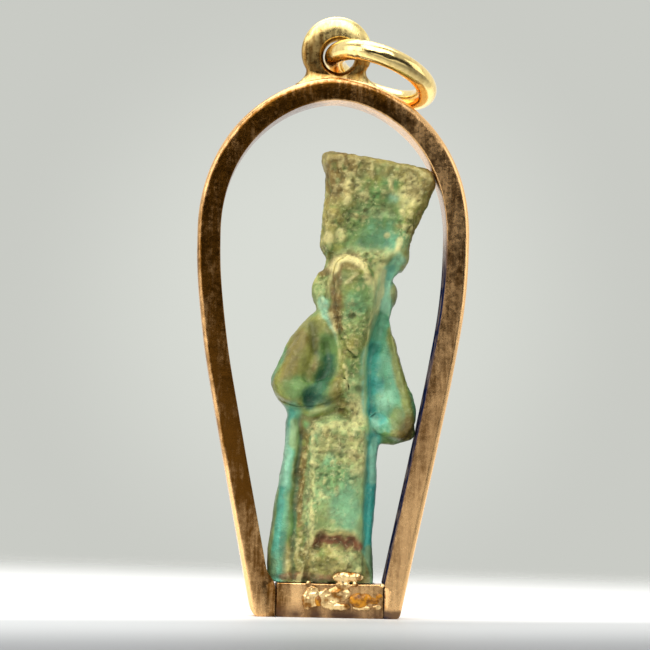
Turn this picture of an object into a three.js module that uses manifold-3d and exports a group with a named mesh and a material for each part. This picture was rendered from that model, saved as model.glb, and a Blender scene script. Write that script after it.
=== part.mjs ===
// A small faience figure, cemented upright inside an arched gold frame with a hanging ring.
// Millimetres. +Z is up, +X to the right and -Y to the front; the origin is the middle of the
// flat underside on which the frame stands.

import * as THREE from "three";
import { mergeVertices } from "three/addons/utils/BufferGeometryUtils.js";
import Module from "manifold-3d";

const wasm = await Module();
wasm.setup();

// ---- Driving sizes -------------------------------------------------------------------------

// The arched band: its outer outline runs up two straight legs and over a full arch.
const FRAME_HEIGHT = 27.3; // underside to the top of the arch
const FRAME_HALF_WIDTH = 6.88; // at the widest level
const WIDEST_LEVEL = 19.27;
const FOOT_HALF_WIDTH = 3.74; // outer faces of the feet, at the underside
const LEG_TOP_LEVEL = 9.39; // where each straight leg starts to curve
const LEG_LEAN = 11.4; // degrees from upright
const BAND_THICKNESS = 1.17; // as seen from the front
const BAND_DEPTH = 3.0; // front to back
const OUTER_ROUNDING = 0.32; // radius on the two outer edges
const INNER_ROUNDING = 0.08;
const UNDERSIDE_CHAMFER_HEIGHT = 0.4; // filed along the front of the underside
const UNDERSIDE_CHAMFER_DEPTH = 0.12;

// The bar between the feet, which carries the figure.
const BAR_HALF_LENGTH = 2.72;
const BAR_OFFSET = 0.19; // the bar sits a little right of the middle
const BAR_HEIGHT = 1.74;
const SOLDER_GAP = 0.03; // clearance at each soldered or cemented seam
const SOLDER_THICKNESS = 0.2; // how far the lumps of solder stand out from the bar
const RESIN_THICKNESS = 0.14;

// The hanging loop on the arch and the ring through it.
const LOOP_RADIUS = 1.8; // to its outer face
const LOOP_DEPTH = 0.9;
const LOOP_ROUNDING = 0.3; // radius on its two outer edges
const LOOP_RISE = 1.42; // its centre above the top of the arch
const LOOP_HOLE_RADIUS = 0.8; // at its narrowest
const LOOP_HOLE_FLARE = 0.2; // how much wider the hole is at the front and at the back
const LOOP_HOLE_RIGHT = 0.12; // the hole is off centre, to the right
const LOOP_HOLE_DROP = 0.24; // and down
const LOOP_FOOT_HALF_WIDTH = 1.42; // the solder's narrowest part
const LOOP_FOOT_SPREAD = 0.7; // how much wider it is where it meets the arch, on each side
const LOOP_FOOT_DEPTH = 0.84;
const RING_RADIUS = 2.5;
const RING_WIRE_RADIUS = 0.53;
const RING_TILT = 16.5; // degrees, far side down
const RING_PLAY = 0.05; // clearance between the ring's wire and the left side of the hole

// The figure: its proportions are percentages of its own height.
const FIGURE_HEIGHT = 21.72;
const FIGURE_LEAN = 6.16; // degrees to the right
const FIGURE_FOOT_X = -0.09; // where its axis meets the top of the bar

// Fineness of the facets.
const ARCH_STEPS = 14;
const CORNER_STEPS = 2;
const WIRE_SIDES = 10;

const GOLD = new THREE.MeshStandardMaterial({ color: 0xb9854a, roughness: 0.3, metalness: 1 });
const SOLDER = new THREE.MeshStandardMaterial({ color: 0xd3a764, roughness: 0.4, metalness: 1 });
const RESIN = new THREE.MeshStandardMaterial({ color: 0xa9701f, roughness: 0.25, metalness: 0 });
const FAIENCE = new THREE.MeshStandardMaterial({ color: 0x76a283, roughness: 0.6, metalness: 0 });

// ---- Solids --------------------------------------------------------------------------------

function toSolid(geometry) {
  const bare = (geometry.index ? geometry.toNonIndexed() : geometry.clone());
  bare.deleteAttribute("normal");
  bare.deleteAttribute("uv");
  const merged = mergeVertices(bare, 1e-4);
  const solid = new wasm.Manifold(
    new wasm.Mesh({
      numProp: 3,
      vertProperties: merged.attributes.position.array,
      triVerts: new Uint32Array(merged.index.array),
    }),
  );
  return solid;
}

function toGeometry(solid) {
  const mesh = solid.getMesh();
  const geometry = new THREE.BufferGeometry();
  geometry.setAttribute("position", new THREE.BufferAttribute(mesh.vertProperties.slice(), 3));
  geometry.setIndex(new THREE.BufferAttribute(mesh.triVerts.slice(), 1));
  return geometry;
}

function joined(geometries) {
  return geometries.map(toSolid).reduce((whole, next) => whole.add(next));
}

function cut(solid, ...geometries) {
  return geometries.map(toSolid).reduce((left, next) => left.subtract(next), solid);
}

function boxFrom(low, high) {
  const size = high.clone().sub(low);
  const middle = high.clone().add(low).multiplyScalar(0.5);
  return new THREE.BoxGeometry(size.x, size.y, size.z).translate(middle.x, middle.y, middle.z);
}

// A closed skin over rings of equally many points, with a fan over each end.
function skinOver(rings) {
  const count = rings[0].length;
  const points = rings.flat();
  const ends = [rings[0], rings.at(-1)].map((ring) =>
    ring.reduce((sum, point) => sum.add(point), new THREE.Vector3()).divideScalar(count),
  );
  const first = points.length;
  const last = first + 1;
  const faces = [];
  for (let row = 0; row < rings.length - 1; row++) {
    for (let i = 0; i < count; i++) {
      const here = row * count + i;
      const beside = row * count + ((i + 1) % count);
      faces.push(here, beside, beside + count, here, beside + count, here + count);
    }
  }
  const lastRow = (rings.length - 1) * count;
  for (let i = 0; i < count; i++) {
    const next = (i + 1) % count;
    faces.push(next, i, first, lastRow + i, lastRow + next, last);
  }
  const geometry = new THREE.BufferGeometry().setFromPoints([...points, ...ends]);
  geometry.setIndex(faces);
  return geometry;
}

function namedMesh(name, geometry, material) {
  const mesh = new THREE.Mesh(geometry, material);
  mesh.name = name;
  return mesh;
}

// ---- The arched band -----------------------------------------------------------------------

function archOutline() {
  const lean = Math.tan(THREE.MathUtils.degToRad(LEG_LEAN));
  const below = 1; // the legs run on below the underside, where they are cut level
  const legTop = FOOT_HALF_WIDTH + LEG_TOP_LEVEL * lean;
  const legPull = 0.6 * (WIDEST_LEVEL - LEG_TOP_LEVEL);
  const sidePull = 0.2 * (WIDEST_LEVEL - LEG_TOP_LEVEL);
  const archPull = 0.69 * (FRAME_HEIGHT - WIDEST_LEVEL);
  const topPull = 0.4 * FRAME_HALF_WIDTH;
  const outline = new THREE.Path();
  outline.moveTo(-(FOOT_HALF_WIDTH - below * lean), -below);
  outline.lineTo(-legTop, LEG_TOP_LEVEL);
  outline.bezierCurveTo(
    -(legTop + legPull * lean), LEG_TOP_LEVEL + legPull,
    -FRAME_HALF_WIDTH, WIDEST_LEVEL - sidePull,
    -FRAME_HALF_WIDTH, WIDEST_LEVEL,
  );
  outline.bezierCurveTo(
    -FRAME_HALF_WIDTH, WIDEST_LEVEL + archPull, -topPull, FRAME_HEIGHT, 0, FRAME_HEIGHT,
  );
  const left = outline.getPoints(ARCH_STEPS);
  const right = left.slice(0, -1).reverse().map((point) => new THREE.Vector2(-point.x, point.y));
  return [...left, ...right];
}

// The band's section: x is the distance in from the outer face, y runs front to back.
function bandSection(thickness, depth) {
  const half = depth / 2;
  const section = new THREE.Shape();
  section.moveTo(OUTER_ROUNDING, -half);
  section.lineTo(thickness - INNER_ROUNDING, -half);
  section.lineTo(thickness, -half + INNER_ROUNDING);
  section.lineTo(thickness, half - INNER_ROUNDING);
  section.lineTo(thickness - INNER_ROUNDING, half);
  section.lineTo(OUTER_ROUNDING, half);
  section.absarc(OUTER_ROUNDING, half - OUTER_ROUNDING, OUTER_ROUNDING, Math.PI / 2, Math.PI);
  section.absarc(OUTER_ROUNDING, OUTER_ROUNDING - half, OUTER_ROUNDING, Math.PI, Math.PI * 1.5);
  const points = section.getPoints(CORNER_STEPS);
  return points.filter((point, i) => i === 0 || point.distanceTo(points[i - 1]) > 1e-6).slice(0, -1);
}

function sweepBand(outline, section) {
  const rings = outline.map((point, i) => {
    const before = outline[Math.max(i - 1, 0)];
    const after = outline[Math.min(i + 1, outline.length - 1)];
    const along = after.clone().sub(before).normalize();
    const inward = new THREE.Vector2(along.y, -along.x);
    return section.map(({ x, y }) =>
      new THREE.Vector3(point.x + inward.x * x, y, point.y + inward.y * x),
    );
  });
  return skinOver(rings);
}

// All that lies outside the inner face of the arch, at every depth.
function outsideTheArch() {
  const deep = 2 * BAND_DEPTH;
  const inner = BAND_THICKNESS + SOLDER_GAP;
  const section = [
    new THREE.Vector2(-FRAME_HALF_WIDTH, -deep),
    new THREE.Vector2(inner, -deep),
    new THREE.Vector2(inner, deep),
    new THREE.Vector2(-FRAME_HALF_WIDTH, deep),
  ];
  return sweepBand(archOutline(), section);
}

// The long wedge filed off the front of the underside, under the bar and the right foot.
function undersideChamfer(fromX) {
  const front = -BAND_DEPTH / 2;
  const reach = 1;
  const wedge = new THREE.Shape([
    new THREE.Vector2(front - reach, -reach),
    new THREE.Vector2(front + UNDERSIDE_CHAMFER_DEPTH, -reach),
    new THREE.Vector2(front + UNDERSIDE_CHAMFER_DEPTH, 0),
    new THREE.Vector2(front, UNDERSIDE_CHAMFER_HEIGHT),
    new THREE.Vector2(front - reach, UNDERSIDE_CHAMFER_HEIGHT),
  ]);
  const length = FOOT_HALF_WIDTH + reach - fromX;
  const geometry = new THREE.ExtrudeGeometry(wedge, { depth: length, bevelEnabled: false });
  // The extrusion runs along +Z of its own; turned so that it runs along +X of the part.
  const turn = new THREE.Matrix4().makeBasis(
    new THREE.Vector3(0, 1, 0), new THREE.Vector3(0, 0, 1), new THREE.Vector3(1, 0, 0),
  );
  return geometry.applyMatrix4(turn).translate(fromX, 0, 0);
}

const barLeft = BAR_OFFSET - BAR_HALF_LENGTH;
const barRight = BAR_OFFSET + BAR_HALF_LENGTH;

// The solder that fills the corner between the leaning left leg and the upright end of the bar.
function leftFootFillet() {
  const lean = Math.tan(THREE.MathUtils.degToRad(LEG_LEAN));
  const across = BAND_THICKNESS / Math.cos(THREE.MathUtils.degToRad(LEG_LEAN));
  const legInside = (level) => across - FOOT_HALF_WIDTH - lean * level;
  const corner = new THREE.Shape([
    new THREE.Vector2(legInside(0) - across / 2, 0),
    new THREE.Vector2(barLeft, 0),
    new THREE.Vector2(barLeft, BAR_HEIGHT),
    new THREE.Vector2(legInside(BAR_HEIGHT) - across / 2, BAR_HEIGHT),
  ]);
  const depth = BAND_DEPTH - 2 * INNER_ROUNDING;
  return new THREE.ExtrudeGeometry(corner, { depth, bevelEnabled: false })
    .translate(0, 0, -depth / 2)
    .rotateX(Math.PI / 2);
}

function arch() {
  const clear = BAND_DEPTH;
  const far = FRAME_HALF_WIDTH + clear;
  const belowGround = boxFrom(
    new THREE.Vector3(-far, -clear, -clear), new THREE.Vector3(far, clear, 0),
  );
  const barSeat = boxFrom(
    new THREE.Vector3(barLeft - SOLDER_GAP, -clear, -clear),
    new THREE.Vector3(barRight + SOLDER_GAP, clear, BAR_HEIGHT + SOLDER_GAP),
  );
  const band = sweepBand(archOutline(), bandSection(BAND_THICKNESS, BAND_DEPTH));
  const filled = joined([band, leftFootFillet()]);
  return toGeometry(cut(filled, belowGround, barSeat, undersideChamfer(barRight)));
}

function bar() {
  const half = BAND_DEPTH / 2;
  const block = boxFrom(
    new THREE.Vector3(barLeft, -half, 0), new THREE.Vector3(barRight, half, BAR_HEIGHT),
  );
  return toGeometry(cut(toSolid(block), undersideChamfer(barLeft - 1)));
}

// ---- The hanging loop and its ring ---------------------------------------------------------

const loopLevel = FRAME_HEIGHT + LOOP_RISE;
const holeLevel = loopLevel - LOOP_HOLE_DROP;

// A form turned about an axis that runs front to back. Each row is [radius, depth].
function turned(rows, around) {
  const rings = rows.map(([radius, depth]) => {
    const ring = [];
    for (let i = 0; i < around; i++) {
      const angle = (2 * Math.PI * i) / around;
      ring.push(new THREE.Vector3(radius * Math.cos(angle), depth, -radius * Math.sin(angle)));
    }
    return ring;
  });
  return skinOver(rings);
}

function hangingLoop() {
  // A flat-faced loop whose outer edges are rounded over.
  const face = LOOP_DEPTH / 2;
  const edge = face - LOOP_ROUNDING;
  const soft = 0.29 * LOOP_ROUNDING; // how far in the middle of a quarter round lies
  const washer = turned(
    [
      [LOOP_RADIUS - LOOP_ROUNDING, -face], [LOOP_RADIUS - soft, soft - face],
      [LOOP_RADIUS, -edge], [LOOP_RADIUS, edge],
      [LOOP_RADIUS - soft, face - soft], [LOOP_RADIUS - LOOP_ROUNDING, face],
    ],
    40,
  ).translate(0, 0, loopLevel);
  // The solder foot: concave flanks from the loop's sides down onto the arch.
  const top = loopLevel - 0.25 * LOOP_RADIUS;
  const bottom = FRAME_HEIGHT - BAND_THICKNESS / 2;
  const side = 0.875 * LOOP_RADIUS;
  const foot = new THREE.Shape();
  const spread = LOOP_FOOT_HALF_WIDTH + LOOP_FOOT_SPREAD;
  foot.moveTo(-spread, bottom);
  foot.lineTo(spread, bottom);
  foot.quadraticCurveTo(LOOP_FOOT_HALF_WIDTH, FRAME_HEIGHT, side, top);
  foot.lineTo(-side, top);
  foot.quadraticCurveTo(-LOOP_FOOT_HALF_WIDTH, FRAME_HEIGHT, -spread, bottom);
  const bevel = 0.12;
  const plate = new THREE.ExtrudeGeometry(foot, {
    depth: LOOP_FOOT_DEPTH - 2 * bevel,
    curveSegments: 5,
    bevelSize: bevel,
    bevelThickness: bevel,
    bevelOffset: -bevel,
    bevelSegments: 1,
  });
  plate.translate(0, 0, bevel - LOOP_FOOT_DEPTH / 2).rotateX(Math.PI / 2);
  // The hole is straight in its middle third and flares from there, on beyond both faces.
  const straight = LOOP_DEPTH / 6;
  const beyond = face + (face - straight);
  const wide = LOOP_HOLE_RADIUS + 2 * LOOP_HOLE_FLARE;
  const hole = turned(
    [[wide, -beyond], [LOOP_HOLE_RADIUS, -straight], [LOOP_HOLE_RADIUS, straight], [wide, beyond]],
    28,
  ).translate(LOOP_HOLE_RIGHT, 0, holeLevel);
  const archBelow = sweepBand(archOutline(), bandSection(BAND_THICKNESS, 3 * BAND_DEPTH))
    .translate(0, 0, SOLDER_GAP);
  const inner = boxFrom(
    new THREE.Vector3(-FRAME_HALF_WIDTH, -BAND_DEPTH, 0),
    new THREE.Vector3(FRAME_HALF_WIDTH, BAND_DEPTH, FRAME_HEIGHT - BAND_THICKNESS / 3),
  );
  return toGeometry(cut(joined([washer, plate]), hole, archBelow, inner));
}

// The ring's wire passes through the loop's hole, close to the hole's left side; the ring's plane
// is tipped and droops to the right.
function ringPlace(droop) {
  const left = LOOP_HOLE_RADIUS - RING_WIRE_RADIUS - RING_PLAY;
  const turn = new THREE.Matrix4().makeRotationY(THREE.MathUtils.degToRad(droop));
  const tip = new THREE.Matrix4().makeRotationX(-THREE.MathUtils.degToRad(RING_TILT));
  return new THREE.Matrix4()
    .makeTranslation(LOOP_HOLE_RIGHT - left, 0, holeLevel)
    .multiply(turn)
    .multiply(tip)
    .multiply(new THREE.Matrix4().makeTranslation(RING_RADIUS, 0, 0));
}

function gapToArch(point, outline) {
  const seen = new THREE.Vector2(point.x, point.z);
  let outside = Infinity;
  for (let i = 1; i < outline.length; i++) {
    const along = outline[i].clone().sub(outline[i - 1]);
    const away = seen.clone().sub(outline[i - 1]);
    const share = THREE.MathUtils.clamp(away.dot(along) / along.lengthSq(), 0, 1);
    away.addScaledVector(along, -share);
    const side = away.cross(along) > 0 ? -1 : 1;
    if (away.length() < Math.abs(outside)) outside = side * away.length();
  }
  const above = outside + OUTER_ROUNDING;
  const beyond = Math.abs(point.y) - BAND_DEPTH / 2 + OUTER_ROUNDING;
  const clear = Math.hypot(Math.max(above, 0), Math.max(beyond, 0));
  return clear + Math.min(Math.max(above, beyond), 0) - OUTER_ROUNDING;
}

// The droop at which the ring comes to rest on the back edge of the arch.
function restingDroop() {
  const outline = archOutline();
  const circle = new THREE.EllipseCurve(0, 0, RING_RADIUS, RING_RADIUS).getPoints(60);
  const touches = (droop) => {
    const place = ringPlace(droop);
    return circle.some(({ x, y }) => {
      const point = new THREE.Vector3(x, y, 0).applyMatrix4(place);
      return gapToArch(point, outline) < RING_WIRE_RADIUS + SOLDER_GAP;
    });
  };
  const step = 0.5;
  let droop = -30;
  while (droop < 60 && !touches(droop + step)) droop += step;
  return droop;
}

function hangingRing() {
  const ring = namedMesh(
    "jump_ring", new THREE.TorusGeometry(RING_RADIUS, RING_WIRE_RADIUS, WIRE_SIDES, 36), GOLD,
  );
  ring.applyMatrix4(ringPlace(restingDroop()));
  return ring;
}

// ---- The figure ----------------------------------------------------------------------------
// All its forms are in percent of its height: a is across (right is +), d is depth (front is -)
// and h is up its own axis.

// A form made of level slices. Each slice is [h, left, right, front, back, squareness], where a
// squareness of 2 is an ellipse and more is squarer.
function sliced(slices, { rows, around, slope = 0 }) {
  const curve = new THREE.CubicInterpolant(
    slices.map(([h]) => h), slices.flatMap((slice) => slice.slice(1)), slices[0].length - 1,
  );
  const low = slices[0][0];
  const high = slices.at(-1)[0];
  const rings = [];
  for (let row = 0; row <= rows; row++) {
    const h = low + ((high - low) * row) / rows;
    const [left, right, front, back, squareness] = curve.evaluate(h);
    const power = 2 / squareness;
    const ring = [];
    for (let i = 0; i < around; i++) {
      const angle = (2 * Math.PI * i) / around;
      const across = Math.sign(Math.cos(angle)) * Math.abs(Math.cos(angle)) ** power;
      const deep = Math.sign(Math.sin(angle)) * Math.abs(Math.sin(angle)) ** power;
      const a = (left + right + across * (right - left)) / 2;
      const d = deep < 0 ? -deep * front : deep * back;
      ring.push(new THREE.Vector3(a, d, h + slope * a));
    }
    rings.push(ring);
  }
  return skinOver(rings);
}

// A limb along a bend. Each joint is [a, d, h, radius].
function limb(joints, { steps, around }) {
  const middle = new THREE.CatmullRomCurve3(
    joints.map(([a, d, h]) => new THREE.Vector3(a, d, h)), false, "centripetal",
  );
  const radii = joints.map((joint) => joint[3]);
  const radiusAt = new THREE.CubicInterpolant(radii.map((_, i) => i), radii, 1);
  const rings = [];
  for (let step = 0; step <= steps; step++) {
    const share = step / steps;
    const centre = middle.getPoint(share);
    const along = middle.getTangent(share);
    const side = new THREE.Vector3(0, 1, 0).cross(along).normalize();
    const deep = along.clone().cross(side).normalize();
    const radius = radiusAt.evaluate(share * (joints.length - 1))[0];
    const ring = [];
    for (let i = 0; i < around; i++) {
      const angle = (2 * Math.PI * i) / around;
      const out = side.clone().multiplyScalar(Math.cos(angle));
      out.addScaledVector(deep, Math.sin(angle)).multiplyScalar(radius);
      ring.push(out.add(centre));
    }
    rings.push(ring);
  }
  return skinOver(rings);
}

function lump(a, d, h, acrossRadius, depthRadius, heightRadius) {
  return new THREE.SphereGeometry(1, 10, 8)
    .rotateX(Math.PI / 2)
    .scale(acrossRadius, depthRadius, heightRadius)
    .translate(a, d, h);
}

// The closed robe over the legs widens a little towards the hem.
function robe() {
  return sliced(
    [
      [-8, -12.2, 12.9, -5.7, 6.4, 4],
      [4, -13.7, 11.1, -5.5, 6.4, 4],
      [12, -13.9, 9.8, -5.2, 6.2, 4],
      [22, -13.3, 9.4, -5.2, 6.0, 4],
      [31, -13.1, 8.7, -5.2, 5.8, 3.8],
      [37, -13.5, 8.9, -5.0, 5.4, 3.4],
      [43, -11.0, 8.5, -4.6, 5.2, 3],
    ],
    { rows: 17, around: 24 },
  );
}

// The raised front of the robe, which stands out from the strips at both sides.
function robeFront() {
  return sliced(
    [
      [-8, -4.2, 9.9, -6.6, 1, 5],
      [8, -5.2, 8.2, -6.9, 1, 5],
      [20, -6.4, 7.0, -7.2, 1, 5],
      [33, -8.8, 6.3, -7.1, 1, 4],
      [37.4, -8.2, 5.4, -6.2, 1, 3],
      [39.6, -6.6, 4.2, -4.6, 1, 2.4],
    ],
    { rows: 14, around: 20 },
  );
}

// The torso with both sleeves, down to the elbows.
function mantle() {
  return sliced(
    [
      [33.8, -9.0, 12.4, -3.2, 4.0, 3],
      [35.8, -12.6, 15.9, -3.9, 4.6, 3.4],
      [38.8, -13.8, 16.3, -4.3, 4.8, 3.4],
      [41.4, -16.4, 15.6, -4.4, 4.9, 3.2],
      [44.4, -18.0, 14.2, -4.4, 5.0, 3],
      [49.0, -17.0, 12.4, -4.3, 5.0, 3],
      [56.0, -14.8, 9.7, -4.3, 5.2, 2.8],
      [60.0, -12.1, 8.4, -4.5, 5.4, 2.8],
      [63.5, -9.0, 7.0, -4.4, 5.4, 2.8],
    ],
    { rows: 24, around: 24 },
  );
}

function head() {
  return sliced(
    [
      [58, -8.8, 6.6, -4.6, 5.4, 2.8],
      [63, -9.7, 7.3, -5.2, 6.0, 2.8],
      [68.5, -10.6, 7.6, -5.7, 6.3, 2.8],
      [72, -9.6, 6.9, -5.5, 6.2, 2.8],
      [75, -9.0, 8.6, -5.2, 5.9, 3],
      [79, -9.4, 8.8, -5.2, 5.6, 3],
    ],
    { rows: 12, around: 22 },
  );
}

// The long worn face with its beard, which tapers down onto the chest.
function face() {
  return sliced(
    [
      [53, -0.8, 1.6, -5.2, 1, 2.2],
      [56.5, -4.0, 2.8, -6.6, 1, 2.6],
      [61, -5.5, 3.8, -7.4, 1, 3],
      [66.5, -6.8, 4.1, -8.0, 1, 3.2],
      [71.5, -7.6, 3.3, -8.1, 1, 3.2],
      [74.4, -7.0, 1.6, -7.6, 1, 2.8],
      [76.4, -5.4, -0.8, -6.4, 1, 2.4],
    ],
    { rows: 13, around: 16 },
  );
}

// The tall crown flares upwards, its top slopes down to the right, and its front is hollowed.
function crown() {
  const outside = sliced(
    [
      [74.8, -9.2, 9.0, -4.8, 5.4, 3.2],
      [77, -10.7, 9.9, -6.0, 6.2, 3.6],
      [80.5, -11.0, 9.9, -6.2, 6.4, 4],
      [85, -11.0, 10.5, -6.3, 6.4, 4],
      [89.5, -11.2, 12.2, -6.5, 6.5, 4],
      [94, -11.8, 13.5, -6.8, 6.6, 4],
      [97.6, -12.9, 13.6, -6.8, 6.4, 4],
      [98.9, -12.6, 12.9, -6.2, 5.8, 3.6],
      [99.5, -11.4, 11.2, -4.8, 4.6, 3.2],
    ],
    { rows: 16, around: 24, slope: -0.055 },
  );
  return cut(toSolid(outside), lump(0.6, -7.6, 84.5, 7.2, 2.4, 6.6));
}

function backPillar() {
  return boxFrom(new THREE.Vector3(-6.6, 1, -8), new THREE.Vector3(3.2, 8.2, 73.5));
}

function arms() {
  const leftArm = limb(
    [
      [-10.0, -0.8, 59.0, 1.8],
      [-12.4, -2.2, 52.0, 3.2],
      [-14.2, -2.9, 44.8, 3.7],
      [-9.4, -4.2, 42.6, 3.0],
      [-3.6, -4.9, 44.4, 2.6],
      [0.6, -4.6, 47.4, 1.4],
    ],
    { steps: 16, around: 10 },
  );
  const rightArm = limb(
    [
      [7.2, -0.8, 58.6, 1.8],
      [9.6, -1.9, 50.0, 2.8],
      [13.0, -2.6, 41.0, 3.2],
      [12.6, -3.0, 37.8, 2.6],
      [8.6, -3.8, 38.2, 2.2],
      [6.2, -4.0, 40.4, 1.4],
    ],
    { steps: 16, around: 10 },
  );
  return [leftArm, rightArm];
}

function figure() {
  const ears = [lump(-9.2, -0.6, 68.2, 2.3, 2.6, 4.2), lump(6.3, -0.4, 68.4, 2.1, 2.4, 3.4)];
  const robed = joined([robe(), robeFront(), mantle(), head(), face(), backPillar(), ...ears]);
  // The front of the foot is broken away.
  const whole = cut(robed.add(joined(arms())).add(crown()), lump(2.6, -8.4, 3.4, 8, 2.6, 6.4));
  const place = new THREE.Matrix4()
    .makeTranslation(FIGURE_FOOT_X, 0, BAR_HEIGHT)
    .multiply(new THREE.Matrix4().makeRotationY(THREE.MathUtils.degToRad(FIGURE_LEAN)))
    .multiply(new THREE.Matrix4().makeScale(...Array(3).fill(FIGURE_HEIGHT / 100)));
  const placed = toGeometry(whole).applyMatrix4(place);
  const wide = FRAME_HALF_WIDTH;
  const belowFoot = boxFrom(
    new THREE.Vector3(-wide, -wide, -wide), new THREE.Vector3(wide, wide, BAR_HEIGHT + SOLDER_GAP),
  );
  return toGeometry(cut(toSolid(placed), belowFoot, outsideTheArch()));
}

// ---- The solder and resin on the bar -------------------------------------------------------
// Each lump is [share of the bar's length from its left, share of its height, radius as a share
// of its height].

function daub(lumps, thickness) {
  const front = -BAND_DEPTH / 2 - SOLDER_GAP;
  const solids = lumps.map(([along, up, size]) => {
    const radius = BAR_HEIGHT * size;
    const across = barLeft + 2 * BAR_HALF_LENGTH * along;
    return lump(across, front, BAR_HEIGHT * up, radius, thickness, radius);
  });
  const behind = boxFrom(
    new THREE.Vector3(-FRAME_HALF_WIDTH, front, -FRAME_HEIGHT),
    new THREE.Vector3(FRAME_HALF_WIDTH, FRAME_HEIGHT, FRAME_HEIGHT),
  );
  return toGeometry(cut(joined(solids), behind));
}

const solderLumps = [
  [0.34, 0.56, 0.28], [0.42, 0.54, 0.22], [0.5, 0.6, 0.26], [0.49, 0.4, 0.18], [0.58, 0.76, 0.24],
  [0.61, 1.0, 0.22], [0.67, 1.18, 0.22],
];
const resinLumps = [[0.76, 0.52, 0.25], [0.83, 0.54, 0.2], [0.92, 0.58, 0.14]];

const pendant = new THREE.Group();
pendant.add(
  namedMesh("arch", arch(), GOLD),
  namedMesh("bar", bar(), GOLD),
  namedMesh("hanging_loop", hangingLoop(), GOLD),
  hangingRing(),
  namedMesh("figure", figure(), FAIENCE),
  namedMesh("solder", daub(solderLumps, SOLDER_THICKNESS), SOLDER),
  namedMesh("resin", daub(resinLumps, RESIN_THICKNESS), RESIN),
);

export default pendant;
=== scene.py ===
"""A small faience figure in an arched gold frame, standing on a pale table.

The forms are built in millimetres and become metres as each piece is made. +Z is up, +X to the
right and -Y to the front; the origin is the middle of the frame's flat underside. The figure's
own forms are in percent of its height: a is across, d is depth (front is -), h is up its axis.
"""

import math

import bmesh
import bpy
import numpy as np
from mathutils import Matrix, Vector


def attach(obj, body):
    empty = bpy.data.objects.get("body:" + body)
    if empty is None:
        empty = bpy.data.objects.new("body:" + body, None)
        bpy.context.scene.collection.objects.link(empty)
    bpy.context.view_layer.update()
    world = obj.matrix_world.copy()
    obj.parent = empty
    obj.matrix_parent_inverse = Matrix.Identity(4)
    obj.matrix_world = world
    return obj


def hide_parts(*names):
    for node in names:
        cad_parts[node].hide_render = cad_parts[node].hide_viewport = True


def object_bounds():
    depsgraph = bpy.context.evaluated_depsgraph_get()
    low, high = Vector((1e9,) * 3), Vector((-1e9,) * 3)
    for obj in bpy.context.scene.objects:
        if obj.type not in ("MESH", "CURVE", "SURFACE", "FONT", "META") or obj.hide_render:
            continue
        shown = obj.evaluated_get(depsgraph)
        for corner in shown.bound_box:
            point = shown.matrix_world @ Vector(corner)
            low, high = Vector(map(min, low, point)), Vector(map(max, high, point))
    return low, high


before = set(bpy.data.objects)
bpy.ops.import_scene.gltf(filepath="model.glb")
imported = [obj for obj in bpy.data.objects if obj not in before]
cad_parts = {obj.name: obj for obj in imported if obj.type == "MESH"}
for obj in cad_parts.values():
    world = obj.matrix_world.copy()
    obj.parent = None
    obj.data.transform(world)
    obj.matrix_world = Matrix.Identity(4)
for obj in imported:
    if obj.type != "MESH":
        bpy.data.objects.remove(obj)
cad_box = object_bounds()

MM = 0.001  # metres in a millimetre

# ---- Sizes ---------------------------------------------------------------------------------

# In millimetres, apart from the pulls, which are shares, and angles in degrees.
FRAME_HEIGHT = 27.3
FRAME_HALF_WIDTH = 6.88
WIDEST_LEVEL = 19.27
FOOT_HALF_WIDTH = 3.74
LEG_TOP_LEVEL = 9.39
LEG_LEAN = math.tan(math.radians(11.4))
KNEE_PULL = 0.6
WAIST_PULL = 0.2
SHOULDER_PULL = 0.69
TOP_PULL = 0.4
BAND_THICKNESS = 1.17
BAND_DEPTH = 3.0
OUTER_ROUNDING = 0.32
INNER_ROUNDING = 0.08
CHAMFER_HEIGHT = 0.4
CHAMFER_DEPTH = 0.12
INNER_LAYER = 0.3
FILLET = 0.18
LEFT_CORNER_WEAR = 0.62
RIGHT_CORNER_WEAR = 0.34
BAND_WAVER = 0.018
BAND_THINNING = 0.008

BAR_LEFT = -2.53
BAR_RIGHT = 2.91
BAR_HEIGHT = 1.74
BAR_ROUNDING = 0.09
BAR_SQUARENESS = 2 / 26
SEAM = 0.03

LOOP_RADIUS = 1.8
LOOP_DEPTH = 0.9
LOOP_ROUNDING = 0.3
LOOP_EDGE_SLOPE = 2.3
LOOP_LEVEL = FRAME_HEIGHT + 1.42
LOOP_HOLE_RADIUS = 0.8
LOOP_HOLE_FLARE = 0.2
LOOP_HOLE_RIGHT = 0.12
LOOP_HOLE_LEVEL = LOOP_LEVEL - 0.24
LOOP_FOOT_HALF_WIDTH = 1.42
LOOP_FOOT_SPREAD = 0.7
LOOP_FOOT_DEPTH = 0.84
LOOP_FOOT_SINKS = 0.28
RING_RADIUS = 2.5
RING_WIRE_RADIUS = 0.53
RING_DROOP = 20.5
RING_TILT = 16.5
RING_X = -0.1
JOINT_ANGLE = -2.15
JOINT_WIDTH = 0.05
JOINT_NICK = 0.05

DAUB_STANDS_OUT = 0.2
DAUB_SINKS = 0.05

FIGURE_HEIGHT = 21.72
FIGURE_LEAN = math.radians(6.16)
FIGURE_FOOT_X = -0.09
CROWN_SLOPE = -0.055

# How fine the meshes are. The figure's voxels are in percent of its height.
CLOSEST = 0.002
LOOP_VOXEL = 0.04
DAUB_VOXEL = 0.026
FIGURE_VOXEL = 0.34
BAR_GRID_ALONG = 90
BAR_GRID_AROUND = 108

PUSH_BACK = 1.04  # the share of each smoothing step that the next one takes back
BRUSHED = (1, 1, 0.12)  # draws noise out to upright streaks
PAINT_RICHNESS = 1.18

# ---- Mesh helpers --------------------------------------------------------------------------


def in_scene(name, data):
    """A new object in the scene, of a mesh, a light or a camera."""
    thing = bpy.data.objects.new(name, data)
    bpy.context.scene.collection.objects.link(thing)
    return thing


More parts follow.
